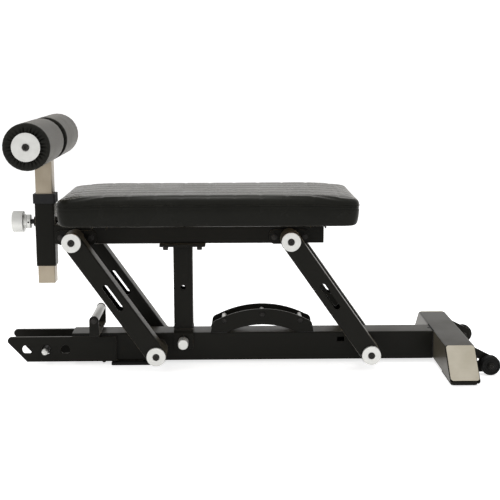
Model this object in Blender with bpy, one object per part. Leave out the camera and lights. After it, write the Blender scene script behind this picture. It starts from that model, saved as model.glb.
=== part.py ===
"""A low utility bench: a padded seat that swings over a square base rail on two pairs of equal links,
a sliding post with two rollers at one end, a dock at the foot of the rail and transport wheels behind it.

Metres, +Z up, +X from the dock to the wheels. The origin is on the floor under the middle of the bench.
"""

import math

import bmesh
import bpy

# Overall sizes
LENGTH = 1.280  # dock nose to wheel rim
WIDTH = 0.538  # across the lower edges of the rear crossbar
GAP = 0.0003  # left between pieces that touch
SIDES = 24  # facets of a round piece
SMALL_SIDES = 12  # facets of a thin one
TUBE_WALL = 0.003
TUBE_CORNER = 0.005
CORNER_STEPS = 2

# Base rail and feet
RAIL_SIDE = 0.0762
FOOT_HEIGHT = 0.008
DOCK_REACH = 0.169  # cheek nose to the rail's front end
TAIL = 0.1485  # crossbar front face to wheel rim
FRONT_FOOT_LENGTH = 0.116
FRONT_FOOT_WIDTH = 0.106
FRONT_FOOT_SETBACK = 0.1036  # from the rail's front end

# Rear crossbar
SLOPE_RUN = 0.082  # how much shorter the top edge is at each end
END_PLATE_SIDE_MARGIN = 0.0021  # plate's long edge from the crossbar's side
END_PLATE_END_MARGIN = 0.00446972  # plate's end from the slope's end, both ends alike
END_PLATE_LIFT = 0.0025  # plate's middle up the slope from the slope's own
END_PLATE_THICKNESS = 0.003
END_PLATE_CHAMFER = 0.005
CROSSBAR_FOOT_LENGTH = 0.126
CROSSBAR_FOOT_WIDTH = 0.066
CROSSBAR_FOOT_INSET = 0.013  # from the crossbar's lower edge

# Dock
CHEEK_THICKNESS = 0.0095
CHEEK_LENGTH = 0.286
CHEEK_DROP = 0.0069  # cheek top below the rail's top
CHEEK_HEIGHT = 0.0672
CHEEK_NOSE_CUT = 0.050
CHEEK_NOSE_RADIUS = 0.010
DOCK_HOLE_RADIUS = 0.01325
DOCK_HOLE_FLAT = 0.0105  # flat floor of the two outer holes under their centres
DOCK_HOLE_PITCH = 0.0508
DOCK_HOLE_SETBACK = 0.050  # first hole from the nose
DOCK_HOLE_DROP = 0.0417  # hole centres below the rail's top
DOCK_PIN_RADIUS = 0.008
DOCK_PIN_BALL = 0.00875
DOCK_PIN_PROUD = 0.0196  # ball centre beyond the near cheek
DOCK_PIN_FIT = 0.0004
DOCK_PIN_NECK = 0.006  # length of the groove behind the ball
DOCK_PIN_COLLAR = 0.009  # length of the collar inside the far cheek
DOCK_FLANGE_RADIUS = 0.018
DOCK_FLANGE_LENGTH = 0.006
DOCK_KNOB_RADIUS = 0.015
DOCK_KNOB_NECK = 0.009
DOCK_KNOB_START = 0.014  # from the far cheek
DOCK_KNOB_END = 0.040
EDGE = 0.002  # chamfer of a knob

# Pivots and links
PIVOT_MIDDLE = 0.0355  # between the front and the rear lower pivots
SADDLE_ROOM = 0.018345  # saddle's post from a pivot tube at each end of the swing
PIVOT_RISE = 0.0353  # lower pivots above the rail's underside
LINK_LENGTH = 0.365
LINK_LEAN = math.radians(35)
LINK_SIDE = 0.0508
LINK_STAND_OFF = 0.0361  # rail side to link
HUB_PROUD = 0.0004
LINK_SLOT_WIDTH = 0.0148
LINK_SLOT_LENGTH = 0.080
LINK_SLOT_RISE = 0.189  # slot centre from the lower pivot
AXLE_RADIUS = 0.0127
DISC_RADIUS = 0.0247
DISC_THICKNESS = 0.0076
DISC_CHAMFER = 0.001
BOLT_RADIUS = 0.006
BOLT_HEAD_RADIUS = 0.0085
BOLT_HEAD_HEIGHT = 0.005
BOLT_HEAD_ROOM = 0.0007
PIVOT_TUBE_RADIUS = 0.0254

# Arc guide: it follows the underside of the saddle, which swings at the links' length
ARC_CLEARANCE = 0.003
ARC_HALF_LENGTH = 0.137
ARC_CROWN_HALF = 0.119
ARC_FOOT_FLARE = 0.003
ARC_PLATE_INSET = 0.0031  # plate's outer face from the rail's side
ARC_PLATE_THICKNESS = 0.005
ARCH_HALF_LENGTH = 0.091
ARCH_HEIGHT = 0.020
ARC_BOLT_REACH = 0.101
ARC_BOLT_DROP = 0.0145  # middle bolt below the top edge
ARC_END_BOLT_DROP = 0.0095  # end bolts below it
ARC_BOLT_RADIUS = 0.004
ARC_BOLT_HEAD_RADIUS = 0.00625
ARC_BOLT_HEAD_HEIGHT = 0.0025
ARC_SPACER_RADIUS = 0.00635
ARC_STEPS = 12
SHOULDER_RISE = 0.45  # of the guide's end: where its curve meets the foot, as a share of its height
SHOULDER_BULGE = 0.9
SHOULDER_STEPS = 5

# Lifting handle
HANDLE_SETBACK = 0.0645  # from the rail's front end
HANDLE_HALF_WIDTH = 0.083
HANDLE_STRAP_WIDTH = 0.025
HANDLE_STRAP_THICKNESS = 0.005
HANDLE_BEND = 0.008
HANDLE_RISE = 0.0443  # grip axis above the rail's top
GRIP_RADIUS = 0.011
GRIP_BORE = 0.008

# Transport wheels
WHEEL_RADIUS = 0.025
WHEEL_THICKNESS = 0.022
WHEEL_HEIGHT = 0.0255
WHEEL_INSET = 0.104  # wheel centre from the crossbar's lower end
WHEEL_AXLE_RADIUS = 0.005
WHEEL_BRACKET_THICKNESS = 0.006
WHEEL_BRACKET_INSET = 0.004  # bracket's round end inside the wheel's rim
WHEEL_BRACKET_TOP = 0.063  # above the rail's underside
WHEEL_BRACKET_HOLE = 0.004
WHEEL_BRACKET_EDGE = 0.004  # flat at its top
WHEEL_BRACKET_SLOPE = 64  # degrees, where its slope meets its round end
WHEEL_HOLE_REACH = 0.017  # from the crossbar's back
WHEEL_HOLE_RISE = 0.011  # above the wheel's centre
WHEEL_BOLT_RADIUS = 0.008
WHEEL_BOLT_HEIGHT = 0.004
WHEEL_HUB_RADIUS = 0.010
WHEEL_DISH = 0.002  # depth of the recess in a wheel's face
WHEEL_RIM = 0.006  # between the recess and the tread
RUN = 0.0005  # side play of a wheel or roller

# Seat frame and post
FRAME_WIDTH = 0.0762
FRAME_HEIGHT = 0.0508
FRAME_DROP = 0.0183  # frame underside below the upper pivots
FRAME_BACK_REACH = 0.0907  # frame's rear end beyond the rear upper pivot
POST_SHIFT = -0.0015  # post, saddle and arc guide from the middle of the pivots
SLEEVE_REACH = 0.0828  # sleeve's centre ahead of the front upper pivot
BLOCK_LENGTH = 0.104
BLOCK_HEIGHT = 0.038
BLOCK_CORNER = 0.0114
BLOCK_THICKNESS = 0.0066
BLOCK_BOSS_RADIUS = 0.023
POST_SIDE = 0.0508
POST_HOLE_RADIUS = 0.0065
POST_HOLE_RISE = 0.110  # hole above the saddle's plate
FLANGE_LENGTH = 0.1206
FLANGE_WIDTH = 0.100
FLANGE_THICKNESS = 0.0067
SADDLE_THICKNESS = 0.009
SADDLE_CHEEK = 0.0065
SADDLE_BEVEL = 0.0054
SADDLE_FIT = 0.0004  # between a cheek and the rail's side
SADDLE_DROP = 0.0422  # cheeks' lower edge below the rail's top
LOCK_DROP = 0.0204  # lock pin below the rail's top
LOCK_SLOT_LENGTH = 0.0195
LOCK_SLOT_HEIGHT = 0.013

# Pull pins
PIN_STAND = 0.0004  # plunger's tip clear of what it locks, at rest
PIN_FIT = 0.0003
SADDLE_PIN_RADIUS = 0.006
SADDLE_KNOB_RADIUS = 0.0138
SADDLE_KNOB_LENGTH = 0.035
SADDLE_KNOB_STAND = 0.0075  # knob from the cheek
SADDLE_HOUSING_RADIUS = 0.010
SADDLE_HOUSING_LENGTH = 0.0267
POST_PIN_RADIUS = 0.0045
POST_PIN_RISE = 0.0375  # above the upper pivots
KNOB_RADIUS = 0.028
KNOB_LENGTH = 0.030
BARREL_RADIUS = 0.0185
BARREL_LENGTH = 0.0182
BARREL_STAND = 0.0135  # barrel from the sleeve
BOSS_RADIUS = 0.0135
BOSS_LENGTH = 0.0058
NECK_RADIUS = 0.0065
NECK_LENGTH = 0.0366
LIP = 0.004  # closed end of a pin's housing
STEM_SHARE = 0.5  # plunger's stem radius to its nose radius
PIN_TIP = 0.001  # chamfer of a plunger's nose
PIN_FLOOR = 0.009  # bottom of a knob's bore beyond its housing
POST_PIN_SHOULDER = 0.0081  # spring's seat on the plunger beyond the boss
SADDLE_PIN_SHOULDER = 0.005
KNOB_EDGE = 0.003
SPRING_WIRE = 0.0006
SPRING_PITCH = 0.0029
SPRING_POINTS = 8  # to a turn

# Roller post
UPRIGHT_SIDE = 0.0442
UPRIGHT_DROP = 0.3757  # tube's lower end below the roller axis
UPRIGHT_TOP = 0.024
ROLLER_HEIGHT = 0.2515  # roller axis above the upper pivots
POST_HOLE_PITCH = 0.025
POST_HOLES_ABOVE = 2
POST_HOLES_BELOW = 5
SLEEVE_DROP = 0.0778  # sleeve's lower end below the upper pivots
SLEEVE_RISE = 0.110
COLLAR_WALL = 0.0032
COLLAR_CHAMFER = 0.0025
COLLAR_HEIGHT = 0.0249
COLLAR_LIP = 0.0024
ROLLER_RADIUS = 0.0575
ROLLER_LENGTH = 0.226
ROLLER_ROOM = 0.0019  # post to roller
ROLLER_LIP = 0.002  # roller's rim past its end disc
ROLLER_STEPS = 5
ROLLER_SHOULDER = 0.016
ROLLER_DISC_RADIUS = 0.03475
ROLLER_DISC_THICKNESS = 0.003
ROLLER_BOLT_RADIUS = 0.0084

# Pad
PAD_LENGTH = 0.7585
PAD_WIDTH = 0.354
PAD_FRONT_REACH = 0.0317  # pad's front edge ahead of the front upper pivot
PAD_HEIGHT = 0.0765
PAD_BRACKET_HEIGHT = 0.0115
PAD_BRACKET_WIDTH = 0.040
PAD_BRACKET_LENGTH = 0.240
PAD_BRACKET_INSET = 0.100  # bracket's centre from the pad's end
BOARD_THICKNESS = 0.015
BOARD_INSET = 0.014
PAD_CORNER = 0.027
PAD_SHOULDER = 0.013
PAD_CROWN = 0.002
PAD_DRAW = 0.003  # the sides' pull inwards between the corners
PAD_TAPER = 0.0045  # the sides' pull inwards at the bottom
PAD_HEM = 0.005  # round of the lower edge
PAD_CROWN_REACH = 0.060  # from the shoulder to the flat of the top
PAD_CROWN_STEPS = (0.35, 0.7, 1.0)  # shares of that reach
PAD_CORNER_STEPS = 4
PAD_SIDE_STEPS = 8

# Places worked out from the sizes above
RAIL_FRONT = -LENGTH / 2 + DOCK_REACH
CROSSBAR_FRONT = LENGTH / 2 - TAIL
RAIL_BOTTOM = FOOT_HEIGHT
RAIL_TOP = RAIL_BOTTOM + RAIL_SIDE
RAIL_MIDDLE = RAIL_BOTTOM + RAIL_SIDE / 2
CROSSBAR_X = CROSSBAR_FRONT + RAIL_SIDE / 2
END_PLATE_WIDTH = RAIL_SIDE - 2 * END_PLATE_SIDE_MARGIN
END_PLATE_LENGTH = math.hypot(RAIL_SIDE, SLOPE_RUN) - 2 * END_PLATE_END_MARGIN
WHEEL_OFFSET = WIDTH / 2 - WHEEL_INSET
LINK_X = LINK_LENGTH * math.sin(LINK_LEAN)
PIVOT_REACH = LINK_X + POST_SIDE / 2 + PIVOT_TUBE_RADIUS + SADDLE_ROOM
PIVOT_XS = (PIVOT_MIDDLE - PIVOT_REACH, PIVOT_MIDDLE + PIVOT_REACH)
PIVOT_Z = RAIL_BOTTOM + PIVOT_RISE
LINK_Z = LINK_LENGTH * math.cos(LINK_LEAN)
LINK_INNER = RAIL_SIDE / 2 + LINK_STAND_OFF
LINK_Y = LINK_INNER + LINK_SIDE / 2
HUB_INNER = LINK_INNER - HUB_PROUD
HUB_OUTER = LINK_INNER + LINK_SIDE + HUB_PROUD
DISC_INNER = HUB_OUTER + GAP
DISC_OUTER = DISC_INNER + DISC_THICKNESS
UPPER_XS = (PIVOT_XS[0] - LINK_X, PIVOT_XS[1] - LINK_X)
UPPER_Z = PIVOT_Z + LINK_Z
ARC_X = PIVOT_MIDDLE + POST_SHIFT
POST_X = ARC_X - LINK_X
LOCK_Z = RAIL_TOP - LOCK_DROP
FRAME_BOTTOM = UPPER_Z - FRAME_DROP
FRAME_TOP = FRAME_BOTTOM + FRAME_HEIGHT
SADDLE_TOP = RAIL_TOP + GAP + SADDLE_THICKNESS
SADDLE_INNER = RAIL_SIDE / 2 + SADDLE_FIT
SADDLE_OUTER = SADDLE_INNER + SADDLE_CHEEK
FLANGE_BOTTOM = FRAME_BOTTOM - GAP - FLANGE_THICKNESS
SLEEVE_SIDE = UPRIGHT_SIDE + 2 * (GAP + TUBE_WALL)
COLLAR_SIDE = SLEEVE_SIDE + 2 * COLLAR_WALL
SLEEVE_X = UPPER_XS[0] - SLEEVE_REACH
SLEEVE_FRONT = SLEEVE_X - SLEEVE_SIDE / 2
SLEEVE_TOP = UPPER_Z + SLEEVE_RISE
POST_PIN_Z = UPPER_Z + POST_PIN_RISE
ROLLER_Z = UPPER_Z + ROLLER_HEIGHT
ROLLER_INNER = UPRIGHT_SIDE / 2 + ROLLER_ROOM
ROLLER_OUTER = ROLLER_INNER + ROLLER_LENGTH
PAD_FRONT = UPPER_XS[0] - PAD_FRONT_REACH
PAD_X = PAD_FRONT + PAD_LENGTH / 2
PAD_BOTTOM = FRAME_TOP + 2 * GAP + PAD_BRACKET_HEIGHT
WHEEL_X = LENGTH / 2 - WHEEL_RADIUS


def finish(name, colour, roughness, metallic):
    """A Principled material of one colour, made once."""
    found = bpy.data.materials.get(name)
    if found:
        return found
    material = bpy.data.materials.new(name)
    material.use_nodes = True
    shader = material.node_tree.nodes["Principled BSDF"]
    shader.inputs["Base Color"].default_value = (*colour, 1)
    shader.inputs["Roughness"].default_value = roughness
    shader.inputs["Metallic"].default_value = metallic
    material.diffuse_color = (*colour, 1)
    return material


def black_paint():
    return finish("black_paint", (0.018, 0.018, 0.017), 0.45, 0.0)


def bright_steel():
    return finish("bright_steel", (0.70, 0.70, 0.69), 0.28, 1.0)


def bare_steel():
    return finish("bare_steel", (0.50, 0.46, 0.40), 0.38, 1.0)


def black_rubber():
    return finish("black_rubber", (0.022, 0.022, 0.021), 0.8, 0.0)


def black_vinyl():
    return finish("black_vinyl", (0.03, 0.03, 0.03), 0.5, 0.0)


def plywood():
    return finish("plywood", (0.45, 0.31, 0.17), 0.7, 0.0)


def clear_scene():
    for old in list(bpy.data.objects):
        bpy.data.objects.remove(old, do_unlink=True)


def body(name, x, y, z, parent=None, lean=0.0):
    """An empty on a joint's axis, which carries the pieces of one moving body."""
    empty = bpy.data.objects.new(name, None)
    empty.empty_display_size = 0.05
    bpy.context.collection.objects.link(empty)
    empty.location = (x, y, z)
    empty.rotation_euler = (0, lean, 0)
    if parent:
        bpy.context.view_layer.update()
        empty.parent = parent
        empty.matrix_parent_inverse = parent.matrix_world.inverted()
    return empty


def carry(carrier, *pieces):
    """Hangs pieces modelled in place on a body, where they are."""
    bpy.context.view_layer.update()
    for piece in pieces:
        piece.parent = carrier
        piece.matrix_parent_inverse = carrier.matrix_world.inverted()


def hang(carrier, *pieces):
    """Hangs pieces modelled about a body's own origin on it, so that they take its place and its lean."""
    for piece in pieces:
        piece.parent = carrier


def to_object(mesh_builder, name, material):
    """The object of a finished bmesh, its faces turned outwards and its round sides smooth."""
    bmesh.ops.recalc_face_normals(mesh_builder, faces=mesh_builder.faces)
    mesh = bpy.data.meshes.new(name)
    mesh_builder.to_mesh(mesh)
    mesh_builder.free()
    mesh.shade_smooth()
    mesh.set_sharp_from_angle(angle=math.radians(35))
    mesh.materials.append(material)
    made = bpy.data.objects.new(name, mesh)
    bpy.context.collection.objects.link(made)
    return made


def on_axis(axis, along, point):
    """Where a section's point lies: (y, z) square to X, (x, z) square to Y, (x, y) square to Z."""
    a, b = point
    return {"X": (along, a, b), "Y": (a, along, b), "Z": (a, b, along)}[axis]


def circle(radius, centre=(0, 0), sides=SIDES):
    turns = [2 * math.pi * k / sides for k in range(sides)]
    return [(centre[0] + radius * math.cos(t), centre[1] + radius * math.sin(t)) for t in turns]


def arc(centre, radius, start, end, steps):
    """Points from one angle to another, in degrees, both ends included."""
    turns = [math.radians(start + (end - start) * k / steps) for k in range(steps + 1)]
    return [(centre[0] + radius * math.cos(t), centre[1] + radius * math.sin(t)) for t in turns]


def rounded(width, height, radius, centre=(0, 0), steps=CORNER_STEPS):
    """A rectangle with round corners."""
    points = []
    for k, (sign_a, sign_b) in enumerate(((1, 1), (-1, 1), (-1, -1), (1, -1))):
        corner = (
            centre[0] + sign_a * (width / 2 - radius),
            centre[1] + sign_b * (height / 2 - radius),
        )
        points += arc(corner, radius, 90 * k, 90 * k + 90, steps)
    return points


def chamfered(width, height, cut, centre=(0, 0)):
    """A rectangle with its corners cut off."""
    return rounded(width, height, cut, centre, steps=1)


def bore(radius, clearance=GAP, sides=SIDES):
    """The radius of a faceted hole whose flats clear a shaft."""
    return (radius + clearance) / math.cos(math.pi / sides)


def prism(name, section, axis, low, high, material, hole=None):
    """A section drawn out along an axis. A hole has as many points as the section and starts beside it."""
    builder = bmesh.new()
    loops = [section] if hole is None else [section, hole]
    ends = [[[builder.verts.new(on_axis(axis, a, p)) for p in loop] for loop in loops] for a in (low, high)]
    count = len(section)
    for loop_low, loop_high in zip(*ends):
        for k in range(count):
            after = (k + 1) % count
            builder.faces.new((loop_low[k], loop_low[after], loop_high[after], loop_high[k]))
    for end in ends:
        if hole is None:
            builder.faces.new(end[0])
            continue
        for k in range(count):
            after = (k + 1) % count
            builder.faces.new((end[0][k], end[0][after], end[1][after], end[1][k]))
    return to_object(builder, name, material)


def turned(name, profile, axis, centre, material, sides=SIDES):
    """A profile of (along, radius) turned about an axis, from the axis back to it or closed round a bore."""
    builder = bmesh.new()
    rings = []
    for along, radius in profile:
        points = [(centre[0], centre[1])] if radius == 0 else circle(radius, centre, sides)
        rings.append([builder.verts.new(on_axis(axis, along, p)) for p in points])
    pairs = list(zip(rings, rings[1:]))
    if profile[0][1] > 0:
        pairs.append((rings[-1], rings[0]))
    for first, second in pairs:
        for k in range(sides):
            after = (k + 1) % sides
            corners = [
                first[k % len(first)],
                first[after % len(first)],
                second[after % len(second)],
                second[k % len(second)],
            ]
            builder.faces.new(list(dict.fromkeys(corners)))
    return to_object(builder, name, material)


def as_tool(tool):
    """Marks a cutter or guide: it shapes another object and isn't part of the bench."""
    tool.hide_render = True
    tool.display_type = "WIRE"
    return tool


def boolean(target, tool, operation):
    modifier = target.modifiers.new(operation.lower(), "BOOLEAN")
    modifier.object = as_tool(tool)
    modifier.operation = operation
    tool.parent = target


def cut(target, tool):
    boolean(target, tool, "DIFFERENCE")


def join(target, tool):
    boolean(target, tool, "UNION")


def drill(target, axis, centre, radius, low, high, sides=SIDES):
    """Cuts a round hole along an axis, from low to high."""
    cut(target, prism(target.name + "_hole", circle(radius, centre, sides), axis, low, high, black_paint()))


def square_tube(name, width, height, axis, centre, low, high, material):
    """A tube with round corners."""
    outer = rounded(width, height, TUBE_CORNER, centre)
    inner = rounded(width - 2 * TUBE_WALL, height - 2 * TUBE_WALL, TUBE_CORNER - TUBE_WALL, centre)
    return prism(name, outer, axis, low, high, material, hole=inner)


def base_rail():
    """The square tube along the floor, bored for the pivot tubes, with a slot where the saddle locks."""
    centre = (0, RAIL_MIDDLE)
    back = CROSSBAR_FRONT - GAP
    rail = square_tube("base_rail", RAIL_SIDE, RAIL_SIDE, "X", centre, RAIL_FRONT, back, black_paint())
    for x in PIVOT_XS:
        drill(rail, "Y", (x, PIVOT_Z), bore(PIVOT_TUBE_RADIUS), -RAIL_SIDE, RAIL_SIDE)
    for x in (POST_X, POST_X + 2 * LINK_X):
        slot = rounded(LOCK_SLOT_LENGTH, LOCK_SLOT_HEIGHT, TUBE_CORNER / 4, (x, LOCK_Z))
        cut(rail, prism("base_rail_slot", slot, "Y", -RAIL_SIDE, -RAIL_SIDE / 4, black_paint()))
    return rail


def slope_y(z):
    """Half the crossbar's length at a height."""
    return WIDTH / 2 - SLOPE_RUN * (z - RAIL_BOTTOM) / RAIL_SIDE


def rear_crossbar():
    """The square tube across the rail's rear end, both its ends cut to a slope."""
    centre = (CROSSBAR_X, RAIL_MIDDLE)
    bar = square_tube("rear_crossbar", RAIL_SIDE, RAIL_SIDE, "Y", centre, -WIDTH, WIDTH, black_paint())
    above = RAIL_TOP + RAIL_SIDE
    below = RAIL_BOTTOM - RAIL_SIDE
    for side in (-1, 1):
        waste = [
            (side * slope_y(above), above),
            (side * slope_y(below), below),
            (side * 2 * WIDTH, below),
            (side * 2 * WIDTH, above),
        ]
        front, back = CROSSBAR_X - RAIL_SIDE, CROSSBAR_X + RAIL_SIDE
        cut(bar, prism("rear_crossbar_end", waste, "X", front, back, black_paint()))
    return bar


def end_plate(name, side):
    """A chamfered plate on one sloping end."""
    lift = side * END_PLATE_LIFT
    outline = chamfered(END_PLATE_WIDTH, END_PLATE_LENGTH, END_PLATE_CHAMFER, (0, -lift))
    plate = prism(name, outline, "Z", GAP, GAP + END_PLATE_THICKNESS, bare_steel())
    slope = math.atan2(RAIL_SIDE, SLOPE_RUN)
    plate.location = (CROSSBAR_X, side * slope_y(RAIL_MIDDLE), RAIL_MIDDLE)
    plate.rotation_euler = (-side * slope, 0, 0)
    return plate


def crossbar_foot(name, side):
    middle = side * (WIDTH / 2 - CROSSBAR_FOOT_INSET - CROSSBAR_FOOT_LENGTH / 2)
    outline = chamfered(CROSSBAR_FOOT_WIDTH, CROSSBAR_FOOT_LENGTH, END_PLATE_CHAMFER, (CROSSBAR_X, middle))
    return prism(name, outline, "Z", 0, FOOT_HEIGHT - GAP, black_rubber())


def front_foot():
    centre = (RAIL_FRONT + FRONT_FOOT_SETBACK + FRONT_FOOT_LENGTH / 2, 0)
    outline = rounded(FRONT_FOOT_LENGTH, FRONT_FOOT_WIDTH, TUBE_CORNER, centre)
    return prism("front_foot", outline, "Z", 0, FOOT_HEIGHT - GAP, black_rubber())


def dock_hole(number):
    """The centre of a dock hole, (x, z)."""
    return (-LENGTH / 2 + DOCK_HOLE_SETBACK + number * DOCK_HOLE_PITCH, RAIL_TOP - DOCK_HOLE_DROP)


def dock_cheek(name, side):
    """A plate on the rail's side whose nose reaches past the rail's end, with three holes."""
    nose = -LENGTH / 2
    back = nose + CHEEK_LENGTH
    top = RAIL_TOP - CHEEK_DROP
    low = top - CHEEK_HEIGHT
    round_centre = (nose + CHEEK_NOSE_RADIUS, top - CHEEK_NOSE_RADIUS)
    outline = [(back, low), (back, top)]
    outline += arc(round_centre, CHEEK_NOSE_RADIUS, 90, 225, 6)
    outline += [(nose + CHEEK_NOSE_CUT, low)]
    inner = RAIL_SIDE / 2 + GAP
    cheek = prism(name, outline, "Y", side * inner, side * (inner + CHEEK_THICKNESS), black_paint())
    for number in range(3):
        x, z = dock_hole(number)
        floor = z - (DOCK_HOLE_RADIUS if number == 1 else DOCK_HOLE_FLAT)
        hole = [(a, max(b, floor)) for a, b in circle(DOCK_HOLE_RADIUS, (x, z))]
        cut(cheek, prism(name + "_hole", hole, "Y", side * RAIL_SIDE / 4, side * RAIL_SIDE, black_paint()))
    return cheek


def dock_pin():
    """The pin across the dock: a ball nose, a rod, a collar that centres it in the far cheek, and a knob."""
    near = -(RAIL_SIDE / 2 + GAP + CHEEK_THICKNESS + DOCK_PIN_PROUD)
    far = RAIL_SIDE / 2 + GAP + CHEEK_THICKNESS
    collar = DOCK_HOLE_RADIUS * math.cos(math.pi / SIDES) - DOCK_PIN_FIT
    ball = [(near + a, r) for a, r in arc((0, 0), DOCK_PIN_BALL, 180, 30, 6)]
    ball[0] = (ball[0][0], 0)
    neck = ball[-1][0]
    groove = DOCK_PIN_RADIUS * 0.6
    shoulder_at = neck + DOCK_PIN_NECK
    rod = shoulder_at + DOCK_PIN_RADIUS - groove
    seat = far - DOCK_PIN_COLLAR
    flange = far + DOCK_FLANGE_LENGTH
    start, end = far + DOCK_KNOB_START, far + DOCK_KNOB_END
    profile = ball + [(neck, groove), (shoulder_at, groove), (rod, DOCK_PIN_RADIUS)]
    profile += [(seat, DOCK_PIN_RADIUS), (seat, collar), (far + GAP, collar)]
    profile += [(far + GAP, DOCK_FLANGE_RADIUS), (flange, DOCK_FLANGE_RADIUS), (flange, DOCK_KNOB_NECK)]
    profile += [(start, DOCK_KNOB_NECK), (start + EDGE, DOCK_KNOB_RADIUS), (end - EDGE, DOCK_KNOB_RADIUS)]
    profile += [(end, DOCK_KNOB_RADIUS - EDGE), (end, 0)]
    return turned("dock_pin", profile, "Y", dock_hole(1), bright_steel())


def base_pivot_tube(name, x):
    """A tube through the rail that a lower axle turns in."""
    half = HUB_INNER - GAP
    outer = circle(PIVOT_TUBE_RADIUS, (x, PIVOT_Z))
    inner = circle(bore(AXLE_RADIUS), (x, PIVOT_Z))
    return prism(name, outer, "Y", -half, half, black_paint(), hole=inner)


def saddle_path(offset):
    """How high over the rail the saddle's plate passes, at a distance from the middle of the swing."""
    reach = abs(offset) + POST_SIDE / 2
    return GAP - LINK_Z + math.sqrt(LINK_LENGTH**2 - reach**2)


def arc_height(offset):
    """The guide's top edge above the rail: a circle under the saddle's path."""
    crown = saddle_path(0) - ARC_CLEARANCE
    drop = saddle_path(0) - saddle_path(ARC_CROWN_HALF)
    radius = (ARC_CROWN_HALF**2 + drop**2) / (2 * drop)
    return crown - radius + math.sqrt(radius**2 - offset**2)


def shoulder(side):
    """The guide's end: a curve from its top edge to the flared foot, outwards."""
    top = (ARC_CROWN_HALF, arc_height(ARC_CROWN_HALF))
    low = (ARC_HALF_LENGTH - ARC_FOOT_FLARE, top[1] * SHOULDER_RISE)
    middle = (low[0], top[1] * SHOULDER_BULGE)
    points = []
    for k in range(1, SHOULDER_STEPS + 1):
        t = k / SHOULDER_STEPS
        weights = ((1 - t) ** 2, 2 * t * (1 - t), t**2)
        points.append(tuple(sum(w * p[i] for w, p in zip(weights, (top, middle, low))) for i in (0, 1)))
    points.append((ARC_HALF_LENGTH, 0))
    return [(side * x, z) for x, z in points]


def arc_plate(name, side):
    """A plate of the arc guide on the rail, arched underneath."""
    offsets = [ARC_CROWN_HALF * (1 - k / ARC_STEPS) for k in range(2 * ARC_STEPS + 1)]
    top = [(offset, arc_height(offset)) for offset in offsets]
    radius = (ARCH_HALF_LENGTH**2 + ARCH_HEIGHT**2) / (2 * ARCH_HEIGHT)
    lean = math.degrees(math.asin(ARCH_HALF_LENGTH / radius))
    arch = arc((0, ARCH_HEIGHT - radius), radius, 90 + lean, 90 - lean, ARC_STEPS)
    outline = shoulder(1)[::-1] + top + shoulder(-1) + arch
    placed = [(ARC_X + x, RAIL_TOP + GAP + z) for x, z in outline]
    outer = RAIL_SIDE / 2 - ARC_PLATE_INSET
    plate = prism(name, placed, "Y", side * (outer - ARC_PLATE_THICKNESS), side * outer, black_paint())
    radius = bore(ARC_BOLT_RADIUS, sides=SMALL_SIDES)
    for number in range(3):
        drill(plate, "Y", arc_bolt(number), radius, 0, side * RAIL_SIDE, SMALL_SIDES)
    return plate


def arc_bolt(number):
    """The centre of one of the guide's three bolts, (x, z)."""
    offset = (number - 1) * ARC_BOLT_REACH
    drop = ARC_END_BOLT_DROP if offset else ARC_BOLT_DROP
    return (ARC_X + offset, RAIL_TOP + arc_height(offset) - drop)


def arc_spacer(name, number):
    """A bolt through both plates with its spacer tube between them."""
    outer = RAIL_SIDE / 2 - ARC_PLATE_INSET
    inner = outer - ARC_PLATE_THICKNESS - GAP
    head = outer + GAP
    half = [(inner, ARC_SPACER_RADIUS), (inner, ARC_BOLT_RADIUS), (head, ARC_BOLT_RADIUS)]
    half += [(head, ARC_BOLT_HEAD_RADIUS), (head + ARC_BOLT_HEAD_HEIGHT * 0.5, ARC_BOLT_HEAD_RADIUS)]
    half += [(head + ARC_BOLT_HEAD_HEIGHT, ARC_BOLT_HEAD_RADIUS * 0.6), (head + ARC_BOLT_HEAD_HEIGHT, 0)]
    profile = [(-y, r) for y, r in half[::-1]] + half
    return turned(name, profile, "Y", arc_bolt(number), bright_steel(), SMALL_SIDES)


def handle_bracket():
    """A strap across the rail, bent up at both ends into ears with round tops."""
    x = RAIL_FRONT + HANDLE_SETBACK
    low = RAIL_TOP + GAP
    axis_z = RAIL_TOP + HANDLE_RISE
    top = axis_z + HANDLE_STRAP_WIDTH
    inner = HANDLE_BEND - HANDLE_STRAP_THICKNESS
    flat = HANDLE_HALF_WIDTH - HANDLE_BEND
    outline = [(-HANDLE_HALF_WIDTH, top)] + arc((-flat, low + HANDLE_BEND), HANDLE_BEND, 180, 270, 4)
    outline += arc((flat, low + HANDLE_BEND), HANDLE_BEND, 270, 360, 4) + [(HANDLE_HALF_WIDTH, top)]
    outline += [(HANDLE_HALF_WIDTH - HANDLE_STRAP_THICKNESS, top)]
    outline += arc((flat, low + HANDLE_BEND), inner, 360, 270, 4)
    outline += arc((-flat, low + HANDLE_BEND), inner, 270, 180, 4)
    outline += [(-HANDLE_HALF_WIDTH + HANDLE_STRAP_THICKNESS, top)]
    half = HANDLE_STRAP_WIDTH / 2
    bracket = prism("handle_bracket", outline, "X", x - half, x + half, black_paint())
    ends = arc((x, axis_z), half, 0, 180, 12)
    envelope = [(x + 2 * half, low - half), (x + 2 * half, axis_z - half), (x + half, axis_z - half)] + ends
    envelope += [(x - half, axis_z - half), (x - 2 * half, axis_z - half), (x - 2 * half, low - half)]
    reach = 2 * HANDLE_HALF_WIDTH
    tool = prism("handle_bracket_ends", envelope, "Y", -reach, reach, black_paint())
    boolean(bracket, tool, "INTERSECT")
    return bracket


def handle_grip():
    """The tube that a hand lifts the bench by, clamped between the ears."""
    centre = (RAIL_FRONT + HANDLE_SETBACK, RAIL_TOP + HANDLE_RISE)
    half = HANDLE_HALF_WIDTH - HANDLE_STRAP_THICKNESS - GAP
    grip = circle(GRIP_RADIUS, centre)
    return prism("handle_grip", grip, "Y", -half, half, bright_steel(), hole=circle(GRIP_BORE, centre))


def wheel_side(side, distance):
    return side * (WHEEL_OFFSET + distance)


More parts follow.
